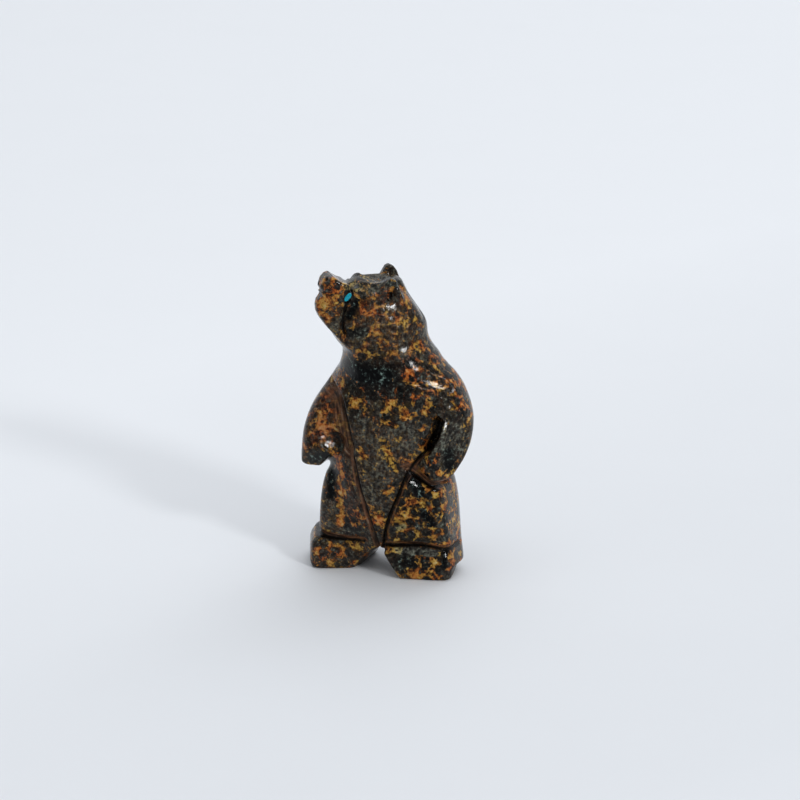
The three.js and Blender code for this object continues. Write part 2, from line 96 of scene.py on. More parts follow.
# Flat faces ground on an arm, each a point on it, its outward direction and how soft its edge is.
LEFT_ARM_FACES = [((12.2, -5.6, 28), (0.848, -0.53, 0.0), 0.7)]
RIGHT_ARM_FACES = [
    ((-9.0, -7.9, 22.2), (0.1, -0.85, -0.52), 0.3),
    ((-9.15, -6.6, 20.0), (0.72, 0.0, -0.69), 0.3),
]
# Small faces on the left shoulder, both forearms, the top of the left thigh, the left cheek and
# the left foot. They are guessed: each is put where the photograph has a highlight, and all are
# turned to mirror the softbox. Each is a point, the half length and half height of its flat, how
# many degrees its length rises towards the bear's left, and how steeply the stone turns up
# round it.
FACET_WAY = (0.607, -0.7, 0.377)
FACETS = [
    ((9.8, -2.95, 34.7), 1.9, 0.6, -25, 0.3),
    ((12.4, -4.8, 27.85), 1.4, 0.45, 78, 0.6),
    ((-8.38, -6.62, 22.95), 1.1, 0.8, -15, 0.5),
    ((7.3, -6.4, 17.55), 1.0, 0.5, -45, 0.5),
    ((2.52, -5.05, 46.51), 0.5, 0.3, -30, 0.5),
    ((11.1, -5.7, 3.6), 0.7, 0.3, 60, 0.5),
]
# The scoop in the front of the right forearm, and the flat floor that ends it low down.
ARM_SCOOP = ((-8.1, -8.3, 24.9), (2.1, 1.9, 3.2))
ARM_SCOOP_FLOOR = (-9.1, -7.05, 23.7)
LEG = [
    (2, 7.4, 0.1, 5.6, 4.8), (6, 6.9, 0.1, 5.6, 5.5), (8, 6.8, 0, 5.5, 5.9),
    (13, 6.5, 0, 5.3, 6.3), (17, 6.0, 0, 4.9, 6.2), (19.5, 5.6, 0, 4.0, 5.4),
]
LEG_MIDDLE = 0.65
FOOT = [
    (-2, 0, 0, 6.0, 6.3), (0, 0, 0, 6.0, 6.3), (0.8, 0, 0, 6.2, 6.6), (3.6, 0, 0, 6.15, 6.5),
    (4.4, 0, 0, 6.0, 6.3), (5.6, 0, 0, 5.3, 5.3), (6.0, 0, 0, 5.0, 5.0),
]
# Each foot's place and how many degrees it turns out.
FEET = [((6.3, -0.3), 13), ((-8.5, 0.1), 24)]
EAR = [
    (1.0, 50.0), (0.5, 51.7), (-0.4, 53.2), (-1.0, 53.5), (-1.8, 53.15), (-2.4, 52.3),
    (-2.8, 51.2), (-3.2, 49.4),
]
# How far each ear lies aside, fore and up from that outline, and half an ear's thickness.
EARS = [(3.75, 1.7, -0.45), (-4.0, 0.0, 0.0)]
EAR_HALF = 0.95
# The brow, a low bar across the head, on (fore, aside, up).
BROW = ((4.9, -0.2, 51.8), (1.3, 3.4, 1.0))
TAIL = ((0.2, 7.0, 10.2), (1.6, 1.9, 2.2))
# The opening between the feet, and how far the right foot's inner front corner is cut back.
ARCH = [(-4.3, -2), (-4.2, 0), (-2.2, 2.6), (0.4, 4.8), (2.4, 3.6), (3.8, 1.8), (4.9, 0), (5.0, -2)]
CORNER_CUT = 0.9
# How square each stack of sections is at its front and back, and how soft its two ends are.
SQUARE = {
    "trunk": (2.5, 2.2, 1.0), "neck": (2.4, 2.4, 0.6), "arm": (2.4, 2.2, 1.0),
    "leg": (5.0, 2.2, 0.5), "foot": (7.0, 2.2, 0.5),
}
# How far each form runs smoothly into the rest, and how far the edges of the muzzle, the ears
# and the cuts are rounded, in mm.
RUN_IN = {
    "arm": 1.2, "head": 3.0, "leg": 1.0, "foot": 0.7, "tail": 1.2, "muzzle": 0.8, "brow": 0.6,
    "ear": 0.8,
}
SOFT = {
    "muzzle": 0.7, "ear": 0.6, "head hollow": 0.3, "body hollow": 0.4, "scoop": 0.2, "facet": 0.1,
    "arch": 0.5, "sole": 0.3,
}

# Lines cut into the front: a path of (across, up), how far the cut reaches to the right and to
# the left of travel along it, its depth, where in front of the middle it fades in, and how much
# of its wall still shows the file.
FRONT_LINES = {
    "belly right": (
        [(-3.8, 24.2), (-3.0, 20.5), (-2.0, 15.7), (-1.0, 12.0), (0.6, 4.6)],
        0.95, 0.25, 0.7, 0.5, 0.8),
    "belly left": (
        [(9.6, 24.0), (7.8, 22.0), (6.2, 19.3), (4.6, 15.2), (2.5, 10.2), (1.0, 4.6)],
        0.25, 0.8, 0.75, 0.5, 0.6),
    "armpit": (
        [(-10.0, 33.4), (-7.0, 31.8), (-5.4, 28.6), (-4.5, 25.6), (-3.8, 23.4)],
        2.7, 0.9, 1.6, 0.5, 0.7),
    "pocket": ([(11.1, 28.6), (10.7, 26.6), (10.2, 25.2), (9.6, 24.0)], 1.3, 1.2, 2.4, 0.5, 0),
    "thigh": ([(6.4, 19.7), (8.1, 18.1), (10.2, 17.0), (12.8, 16.8)], 0.3, 2.0, 1.0, 0.5, 0.9),
    "ankle right": (
        [(-14.0, 5.9), (-11.5, 5.7), (-8.6, 5.4), (-5.7, 5.2), (-2.4, 5.5)],
        0.25, 1.0, 0.5, -3.0, 0.9),
    "ankle left": (
        [(1.6, 5.4), (4.6, 5.7), (9.2, 6.05), (13.0, 5.5), (15.0, 5.3)],
        0.25, 0.8, 0.45, -3.0, 0.8),
    "toe a": ([(8.2, 3.2), (8.3, 0.4)], 0.35, 0.35, 0.16, 0.5, 0),
    "toe b": ([(11.0, 3.0), (11.1, 0.4)], 0.35, 0.35, 0.16, 0.5, 0),
    "toe c": ([(-9.2, 2.6), (-9.3, 0.4)], 0.35, 0.35, 0.14, 0.5, 0),
    "toe d": ([(-5.6, 2.8), (-5.7, 0.6)], 0.35, 0.35, 0.14, 0.5, 0),
}
# Lines cut into both sides of the head: a path of (fore, up), the two reaches, the depth, and
# from how far aside on the cut is full.
HEAD_LINES = {
    "cheek crease": (
        [(6.4, 52.1), (7.2, 51.3), (8.4, 48.1), (8.9, 45.1), (8.6, 43.4)], 0.45, 0.9, 0.7, 1.8),
    "nape": (
        [(-0.9, 51.9), (-1.9, 50.4), (-3.2, 49.3), (-4.8, 47.4), (-5.6, 45.4)], 0.35, 0.8, 0.25, 1.5),
    "mouth": ([(13.0, 50.95), (11.8, 50.75), (10.4, 50.4)], 0.35, 0.35, 0.45, 0.0),
}
# Hollows, each a centre and its radii. Those of the head, on (fore, aside, up), are the crown,
# two nostrils, the pit and fold of the left ear in three parts, and a dip by the right ear.
HEAD_HOLLOWS = [
    ((2.3, -0.4, 52.9), (3.0, 3.0, 1.4)),
    ((11.5, 1.6, 52.95), (0.42, 0.5, 0.42)),
    ((12.2, -0.8, 51.7), (0.5, 0.42, 0.42)),
    ((0.75, 5.05, 50.1), (0.9, 1.15, 1.3)),
    ((0.85, 4.1, 49.9), (0.4, 0.5, 0.7)),
    ((0.6, 5.1, 51.55), (1.1, 0.85, 0.3)),
    ((-1.0, -2.8, 52.2), (0.95, 0.75, 0.8)),
]
# Low ridges in the dish between brow and ears, such as a file leaves: the (fore, aside) path
# that they follow, how far apart they are, and how far they rise and dip.
CROWN_PATH = [(5.1, -1.7), (3.5, 1.3), (0.2, -1.6)]
RIDGE_SPACING, RIDGE_RISE = 0.75, 0.1
# The hollows above the left thigh and on top of the left foot.
BODY_HOLLOWS = [
    ((8.9, -7.4, 18.0), (1.8, 1.5, 1.4)),
    ((8.2, -7.3, 5.0), (3.4, 1.3, 0.95)),
]


def smooth_min(a, b, radius):
    h = np.maximum(radius - np.abs(a - b), 0) / radius
    return np.minimum(a, b) - h * h * radius / 4


def smooth_max(a, b, radius):
    return -smooth_min(-a, -b, radius)


def fade(t, start, end):
    u = np.clip((t - start) / (end - start), 0, 1)
    return u * u * (3 - 2 * u)


def through(keys, t):
    """Smooth curve through keys (place, value, value...), level at both ends."""
    keys = np.asarray(keys, float)
    x, v = keys[:, 0], keys[:, 1:]
    slope = np.zeros_like(v)
    slope[1:-1] = (v[2:] - v[:-2]) / (x[2:] - x[:-2])[:, None]
    t = np.clip(t, x[0], x[-1])
    i = np.clip(np.searchsorted(x, t) - 1, 0, len(x) - 2)
    width = x[i + 1] - x[i]
    s = (t - x[i]) / width
    parts = ((1 + 2 * s) * (1 - s) ** 2, s * (1 - s) ** 2 * width,
             s * s * (3 - 2 * s), s * s * (s - 1) * width)
    return [parts[0] * c[i] + parts[1] * m[i] + parts[2] * c[i + 1] + parts[3] * m[i + 1]
            for c, m in zip(v.T, slope.T)]


def stack(x, y, z, sections, front, back, edge):
    """A stack of rounded sections; front and back say how square they are.

    Near its axis a plain inside value stands in for the distance."""
    across, depthwise, a, b = through(sections, z)
    u, v = x - across, y - depthwise
    n = np.where(v < 0, front, back)
    g = ((np.abs(u) / a) ** n + (np.abs(v) / b) ** n) ** (1 / n)
    side = np.hypot(u, v) * (1 - 1 / np.maximum(g, 1e-3))
    side = np.where(g < 0.3, -0.7 * np.minimum(a, b), side)
    return smooth_max(side, np.maximum(sections[0][0] - z, z - sections[-1][0]), edge)


def outline(u, v, points):
    """Distance to a closed outline, negative inside."""
    nearest = np.full(u.shape, np.inf)
    inside = np.zeros(u.shape, bool)
    for (au, av), (bu, bv) in zip(points, points[1:] + points[:1]):
        eu, ev = bu - au, bv - av
        wu, wv = u - au, v - av
        t = np.clip((wu * eu + wv * ev) / (eu * eu + ev * ev), 0, 1)
        nearest = np.minimum(nearest, np.hypot(wu - t * eu, wv - t * ev))
        if ev:
            inside ^= ((v >= av) != (v >= bv)) & (u < au + wv * eu / ev)
    return np.where(inside, -nearest, nearest)


def eased(path, steps=4):
    """More points along a path, on a smooth curve through those given."""
    p = np.asarray(path, float)
    p = np.vstack([2 * p[0] - p[1], p, 2 * p[-1] - p[-2]])
    points = []
    for a, b, c, d in zip(p, p[1:], p[2:], p[3:]):
        for t in np.arange(steps) / steps:
            points.append(0.5 * (2 * b + (c - a) * t + (2 * a - 5 * b + 4 * c - d) * t ** 2
                                 + (3 * b - a - 3 * c + d) * t ** 3))
    return np.array(points + [p[-2]])


def beside(u, v, path):
    """Signed distance to a path, positive to the left of travel, and how far along it lies."""
    nearest = np.full(u.shape, np.inf)
    side = np.zeros(u.shape)
    along = np.zeros(u.shape)
    gone = 0.0
    for (au, av), (bu, bv) in zip(path, path[1:]):
        eu, ev = bu - au, bv - av
        length = math.hypot(eu, ev)
        wu, wv = u - au, v - av
        t = np.clip((wu * eu + wv * ev) / length ** 2, 0, 1)
        d = np.hypot(wu - t * eu, wv - t * ev)
        closer = d < nearest
        nearest = np.where(closer, d, nearest)
        side = np.where(closer, np.sign(eu * wv - ev * wu), side)
        along = np.where(closer, gone + t * length, along)
        gone += length
    return nearest * side, along


def hollow(x, y, z, centre, radii):
    """About how far outside an ellipsoid, which stands for a hollow or a small lump."""
    q = [(x - centre[0]), (y - centre[1]), (z - centre[2])]
    near = np.sqrt(sum((c / r) ** 2 for c, r in zip(q, radii)))
    steep = np.sqrt(sum((c / r ** 2) ** 2 for c, r in zip(q, radii)))
    return near * (near - 1) / np.maximum(steep, 1e-9)


FRONT_LINES = {name: (eased(line[0]), *line[1:]) for name, line in FRONT_LINES.items()}
HEAD_LINES = {name: (eased(line[0]), *line[1:]) for name, line in HEAD_LINES.items()}


def groove(across, reach_low, reach_high):
    """How deep the wall of a cut lies, from 1 on its line to 0 at the ends of its reach."""
    return np.clip(1 - np.maximum(across / reach_high, -across / reach_low), 0, 1)


def head(x, y, z):
    fore = x * FORE[0] + y * FORE[1]
    aside = x * ASIDE[0] + y * ASIDE[1]
    sides = np.abs(aside) - through(MUZZLE_HALF, fore)[0]
    muzzle = smooth_max(outline(fore, z, MUZZLE), sides, SOFT["muzzle"])
    neck = stack(fore, aside, z, NECK, *SQUARE["neck"])
    form = smooth_min(neck, muzzle, RUN_IN["muzzle"])
    form = smooth_min(form, hollow(fore, aside, z, *BROW), RUN_IN["brow"])
    for out, ahead, lift in EARS:
        side = outline(fore - ahead, z - lift, EAR)
        fin = smooth_max(side, np.abs(aside - out) - EAR_HALF, SOFT["ear"])
        form = smooth_min(form, fin, RUN_IN["ear"])
    for path, low, high, depth, start in HEAD_LINES.values():
        across, _ = beside(fore, z, path)
        form = form + depth * groove(across, low, high) * fade(np.abs(aside), start - 1, start)
    for centre, radii in HEAD_HOLLOWS:
        form = smooth_max(form, -hollow(fore, aside, z, centre, radii), SOFT["head hollow"])
    across, _ = beside(fore, aside, CROWN_PATH)
    ridges = np.cos(across / RIDGE_SPACING * 2 * math.pi) * fade(-np.abs(across), -1.3, -0.9)
    return form - RIDGE_RISE * ridges * fade(z, 51.0, 51.5) * fade(fore, -1.0, 0.0)


def beyond(x, y, z, point, outward):
    """How far outside the plane through a point that faces outward."""
    reach = (x - point[0]) * outward[0] + (y - point[1]) * outward[1] + (z - point[2]) * outward[2]
    return reach / math.hypot(*outward)


def bear(x, y, z):
    form = stack(x, y, z, TRUNK, *SQUARE["trunk"])
    for sections, faces in ((LEFT_ARM, LEFT_ARM_FACES), (RIGHT_ARM, RIGHT_ARM_FACES)):
        arm = stack(x, y, z, sections, *SQUARE["arm"])
        for point, outward, edge in faces:
            arm = smooth_max(arm, beyond(x, y, z, point, outward), edge)
        form = smooth_min(form, arm, RUN_IN["arm"])
    form = smooth_min(form, head(x, y, z), RUN_IN["head"])
    legs = stack(np.abs(x - LEG_MIDDLE), y, z, LEG, *SQUARE["leg"])
    form = smooth_min(form, legs, RUN_IN["leg"])
    for (fx, fy), turn in FEET:
        c, s = math.cos(math.radians(turn)), math.sin(math.radians(turn))
        u, v = (x - fx) * c + (y - fy) * s, (y - fy) * c - (x - fx) * s
        form = smooth_min(form, stack(u, v, z, FOOT, *SQUARE["foot"]), RUN_IN["foot"])
    form = smooth_min(form, hollow(x, y, z, *TAIL), RUN_IN["tail"])
    cut = 0
    for path, low, high, depth, start, _ in FRONT_LINES.values():
        across, _ = beside(x, z, path)
        cut = np.maximum(cut, depth * groove(across, low, high) * fade(-y, start, start + 3))
    form = form + cut
    for centre, radii in BODY_HOLLOWS:
        form = smooth_max(form, -hollow(x, y, z, centre, radii), SOFT["body hollow"])
    scooped = np.minimum(-hollow(x, y, z, *ARM_SCOOP), beyond(x, y, z, ARM_SCOOP_FLOOR, FACET_WAY))
    form = smooth_max(form, scooped, SOFT["scoop"])
    # A facet's plane cuts nothing further off than twice its half length.
    level = np.cross(FACET_WAY, (0, 0, -1)) / math.hypot(*FACET_WAY[:2])
    for point, half_length, half_height, lean, turned in FACETS:
        lean = math.radians(lean)
        steep = np.cross(FACET_WAY, level)
        along = beyond(x, y, z, point, level * math.cos(lean) + steep * math.sin(lean))
        athwart = beyond(x, y, z, point, steep * math.cos(lean) - level * math.sin(lean))
        away = np.hypot(along * half_height / half_length, athwart)
        past = beyond(x, y, z, point, FACET_WAY) - turned * np.maximum(away - half_height, 0)
        past = np.minimum(past, 2 * half_length - np.hypot(along, athwart))
        form = smooth_max(form, past, SOFT["facet"])
    widened = CORNER_CUT * fade(-y, 2.5, 6.5) * fade(-x, 0, 3)
    form = smooth_max(form, widened - outline(x, z, ARCH), SOFT["arch"])
    return smooth_max(form, -z, SOFT["sole"])


def sheets_of(code):
    """Which sheet of the surface each crossed edge of a grid cell belongs to.

    The code has a bit for each corner that lies inside. Edges that meet on a side of the
    cell are on one sheet; four that meet there are paired round the corners inside."""
    parent = list(range(len(EDGES)))

    def root(e):
        return e if parent[e] == e else root(parent[e])

    crossed = [((code >> a) & 1) != ((code >> b) & 1) for a, b in EDGES]
    for side in SIDES:
        met = [e for e in side if crossed[e]]
        for p in met:
            for q in met:
                shared = set(EDGES[p]) & set(EDGES[q])
                if len(met) == 2 or any((code >> c) & 1 for c in shared):
                    parent[root(p)] = root(q)
    roots = sorted({root(e) for e in range(len(EDGES)) if crossed[e]})
    return [roots.index(root(e)) if crossed[e] else -1 for e in range(len(EDGES))], len(roots)


CORNERS = np.array([(n & 1, n >> 1 & 1, n >> 2) for n in range(8)])
EDGES = [(n, n | bit) for n in range(8) for bit in (1, 2, 4) if not n & bit]
SIDES = [[e for e, ends in enumerate(EDGES) if all(CORNERS[c][axis] == end for c in ends)]
         for axis in range(3) for end in range(2)]


def covered(form, low, high, cell):
    """The surface of a form as points in mm and four-sided faces."""
    # The form is worked out on a coarse grid, and then at each fine point near the surface.
    coarse = 4
    low = np.array(low) - cell / 2
    count = (np.ceil((np.array(high) - low) / (cell * coarse)).astype(int) + 1) * coarse
    axes = [low[i] + np.arange(count[i]) * cell for i in range(3)]
    rough = form(*np.meshgrid(*(a[coarse // 2::coarse] for a in axes), indexing="ij"))
    value = rough
    for axis in range(3):
        value = np.repeat(value, coarse, axis)
    near = np.nonzero(np.abs(value) < 2.6 * coarse * cell)
    value[near] = form(*(a[n] for a, n in zip(axes, near)))

    inside = value < 0
    code = sum(inside[tuple(slice(c[i], c[i] + count[i] - 1) for i in range(3))].astype(int) << n
               for n, c in enumerate(CORNERS))
    cells = np.nonzero((code > 0) & (code < 255))
    codes = code[cells]
    table = [sheets_of(c) for c in range(256)]
    sheet = np.array([t[0] for t in table])[codes]
    sheets = np.array([t[1] for t in table])[codes]
    first = np.cumsum(sheets) - sheets
    total = int(sheets.sum())
    place = np.stack(cells, 1)
    at = [value[tuple((place + c).T)] for c in CORNERS]
    points = np.zeros((total, 3))
    share = np.zeros(total)
    for e, (a, b) in enumerate(EDGES):
        on = sheet[:, e] >= 0
        t = (at[a] / (at[a] - at[b] + ~on))[on, None]
        to = first[on] + sheet[on, e]
        np.add.at(points, to, place[on] + CORNERS[a] + t * (CORNERS[b] - CORNERS[a]))
        np.add.at(share, to, 1)
    points = low + points / share[:, None] * cell
    # Each point is drawn onto the surface itself, by at most 0.6 of a cell each way.
    start = points.copy()
    step = 0.01
    for _ in range(5):
        here = form(*points.T)
        slope = np.stack([(form(*(points + step * np.eye(3)[i]).T) - here) / step for i in range(3)], 1)
        reach = here / np.maximum((slope ** 2).sum(1), 1e-6)
        points = np.clip(points - reach[:, None] * slope, start - 0.6 * cell, start + 0.6 * cell)

    # Each grid edge that crosses the surface gives one face, between the four cells round it.
    number = np.full(code.shape, -1)
    number[cells] = np.arange(len(codes))
    faces = []
    for axis in range(3):
        after = [slice(1, n - 1) for n in count]
        ahead = list(after)
        ahead[axis] = slice(2, count[axis])
        here, there = inside[tuple(after)], inside[tuple(ahead)]
        spots = np.stack(np.nonzero(here != there), 1) + 1
        starts_in = inside[tuple(spots.T)]
        ring = []
        for p, q in ((0, 0), (1, 0), (1, 1), (0, 1)):
            back = np.zeros(3, int)
            back[(axis + 1) % 3], back[(axis + 2) % 3] = p, q
            corner = p << (axis + 1) % 3 | q << (axis + 2) % 3
            edge = EDGES.index((corner, corner | 1 << axis))
            cell_number = number[tuple((spots - back).T)]
            ring.append(first[cell_number] + sheet[cell_number, edge])
        ring = np.stack(ring, 1)
        ring[~starts_in] = ring[~starts_in][:, ::-1]
        faces.append(ring)
    return points, np.vstack(faces)


def mesh_of(name, points, faces):
    """A shaded mesh from points in metres and faces of one size each."""
    mesh = bpy.data.meshes.new(name)
    faces = np.asarray(faces)
    mesh.vertices.add(len(points))
    mesh.vertices.foreach_set("co", np.asarray(points, np.float32).ravel())
    mesh.loops.add(faces.size)
    mesh.loops.foreach_set("vertex_index", faces.astype(np.int32).ravel())
    mesh.polygons.add(len(faces))
    mesh.polygons.foreach_set("loop_start", np.arange(0, faces.size, faces.shape[1], dtype=np.int32))
    mesh.update(calc_edges=True)
    mesh.polygons.foreach_set("use_smooth", np.ones(len(faces), bool))
    mesh.validate()
    piece = bpy.data.objects.new(name, mesh)
    bpy.context.scene.collection.objects.link(piece)
    return piece


# The grid's cell and a box round the bear, in mm.
CELL = 0.24
AROUND = (-15.5, -10.2, -0.6), (16.3, 9.8, 54.4)
points, faces = covered(bear, *AROUND, CELL)
carving = mesh_of("bear_carving", (points - MIDDLE) * MM, faces)

# The colour of the pebble changes from place to place, and a few rows paint shade. Each row says
# where on the body, in mm, how far it spreads, and there how much ochre it has (0 none to 1 all),
# how rusty that ochre is, how coarse the mottling is, how black the rest is and how far the two
# run together.
PATCHES = [
    ("muzzle", (-7.5, -9.1, 51.7), 2.2, 0.9, 0.75, 0.8, 0.2, 0.1),
    ("jaw", (-7.7, -9.1, 48.4), 2, 0.88, 0.4, 0.9, 0.1, 0.2),
    ("throat", (-6.2, -8.3, 45.3), 1.5, 0.7, 0.1, 0.6, 0.1, 0.6),
    # Painted shade: the cheek's front behind the eye, turned away from the softbox, is made black.
    ("behind eye", (-3.4, -7.0, 49.0), 1.2, 0.3, 0.3, 0.8, 1, 0.1),
    ("below eye", (-4.3, -7.6, 46.4), 1.2, 0.3, 0.2, 0.8, 0.8, 0.3),
    ("temple", (-1.7, -6.2, 50.7), 1.8, 0.5, 0.7, 0.9, 0, 0.4),
    ("crown", (-3.1, -1.3, 51.5), 3.5, 0.08, 0.1, 0.3, 0, 0.2),
    ("ear", (2.4, -3.9, 50.2), 1.8, 0.75, 0.7, 0.8, 0.4, 0.3),
    ("cheek", (0.7, -6.0, 48.1), 2.2, 0.97, 0.75, 0.9, 0, 0.8),
    ("cheek low", (-2.8, -8.0, 44.1), 2.4, 0.75, 0.3, 0.8, 0.1, 0.9),
    ("neck", (0.9, -6.7, 43.8), 2.6, 0.98, 0.4, 0.9, 0, 0.7),
    ("nape", (4.7, -2.3, 47.2), 2.2, 0.85, 0.3, 0.8, 0.2, 0.3),
    ("nape rim", (5.8, -0.4, 45.9), 1.8, 0.4, 0.2, 0.7, 0.2, 0.2),
    ("collar", (5.4, -3.1, 43.5), 1.9, 0.85, 0.25, 0.8, 0.1, 0.4),
    ("collar low", (7.1, -1.4, 40.6), 2, 0.6, 0.5, 0.8, 0.3, 0.3),
    ("throat low", (-0.9, -7.7, 40.7), 2.6, 0.75, 0.2, 0.9, 0.4, 0.4),
    ("chest top", (-0.8, -7.9, 37.4), 3.4, 0.02, 0.5, 0.6, 1, 0),
    ("chest rust", (6.4, -5.7, 37.6), 1.8, 0.6, 0.9, 0.9, 0.8, 0.2),
    ("shoulder", (9.1, -3.6, 36.0), 2.4, 0.5, 0.5, 0.9, 0.7, 0.1),
    ("shoulder rim", (12.1, 2.1, 34.8), 2.6, 0.75, 0.6, 0.8, 0.3, 0.2),
    ("chest mid", (4.6, -7.2, 33.8), 2.2, 0.2, 0.3, 0.8, 0.8, 0.1),
    ("chest low", (2.9, -8.0, 30.3), 1.8, 0.3, 0.3, 0.7, 0.6, 0.3),
    ("chest side", (7.8, -6.2, 30.2), 2.0, 0.5, 0.3, 0.8, 0.4, 0.2),
    ("chest right", (-3.7, -7.7, 31.4), 1.8, 0.35, 0.3, 0.7, 0.8, 0.2),
    ("upper arm", (13.0, -3.3, 31.5), 2.2, 0.55, 0.3, 0.9, 0.5, 0.2),
    ("forearm", (14.0, -5.7, 26.1), 3.2, 0.01, 0, 0.3, 0.2, 0.1),
    ("left paw", (11.0, -7.8, 22.4), 1.2, 0.3, 0.4, 0.9, 0.8, 0.2),
    ("right arm", (-10.8, -7.6, 25.2), 2.8, 0.92, 0.9, 0.6, 0.3, 0.9),
    ("right upper arm", (-9.5, -5.6, 31.0), 2.4, 0.6, 0.8, 0.6, 0.5, 0.7),
    # Painted shade: the right paw's down-facing end and the notch under it are made near black.
    ("right paw", (-9.9, -8.0, 20.9), 1.5, 0.04, 0.0, 0.9, 0.7, 0.2),
    ("right notch", (-6.6, -7.1, 22.4), 1.2, 0.05, 0.2, 0.9, 0.9, 0),
    ("right hip", (-4.6, -7.3, 17.5), 1.5, 0.55, 0.9, 0.4, 0.5, 0.6),
    ("right flank", (-9.2, -6.0, 16.1), 1.6, 0.5, 0.3, 0.5, 0.4, 0.5),
    ("belly", (1.6, -8.4, 24.1), 3.6, 0.18, 0.1, 0.25, 0, 0.5),
    ("belly low", (0.6, -8.1, 17.2), 3, 0.1, 0.1, 0.15, 0, 0.4),
    ("belly side", (6.8, -7.0, 25.0), 2.2, 0.3, 0.2, 0.35, 0.1, 0.2),
    ("belly side low", (4.6, -7.9, 19.4), 1.8, 0.25, 0.1, 0.3, 0.1, 0.3),
    ("right shin", (-8.9, -6.0, 9.8), 2.2, 0.6, 0.2, 0.4, 0, 0.6),
    ("right shin inner", (-4.5, -7.0, 12.4), 1.6, 0.4, 0.9, 0.3, 0.4, 0.6),
    ("right foot", (-9.4, -7.7, 2.7), 2, 0.85, 0.8, 0.5, 0.2, 0.3),
    ("right foot inner", (-5.2, -6.6, 2.3), 2, 0.7, 0.3, 0.8, 0.3, 0.3),
    ("left thigh", (8.5, -6.4, 14.5), 2.8, 0.97, 0.2, 1, 0.9, 0),
    ("left shin", (5.7, -6.4, 10.6), 2, 0.85, 0.2, 1, 0.8, 0.1),
    ("left shin low", (9.0, -6.0, 8.0), 1.8, 0.5, 0.1, 0.8, 0.4, 0.1),
    ("left shin rim", (12.6, -3.8, 8.8), 1.5, 0.85, 0.5, 0.9, 0.3, 0.2),
    ("left foot inner", (6.0, -7.0, 3.4), 1.4, 0.2, 0.1, 0.9, 1, 0),
    ("left foot", (9.4, -6.4, 2.8), 1.8, 0.85, 0.5, 0.8, 0.9, 0),
    ("left foot side", (13.6, -2.4, 3.1), 1.5, 0.85, 0.4, 0.8, 0.4, 0.1),
    ("hip", (11.5, -3.3, 16.1), 1.5, 0.7, 0.6, 0.8, 0.3, 0.2),
]
# The same five for the rest of the body, and how much they count beside a row, which counts 1
# at its own place.
EVERYWHERE = (0.45, 0.35, 0.7, 0.3, 0.3)
EVERYWHERE_COUNTS = 0.12
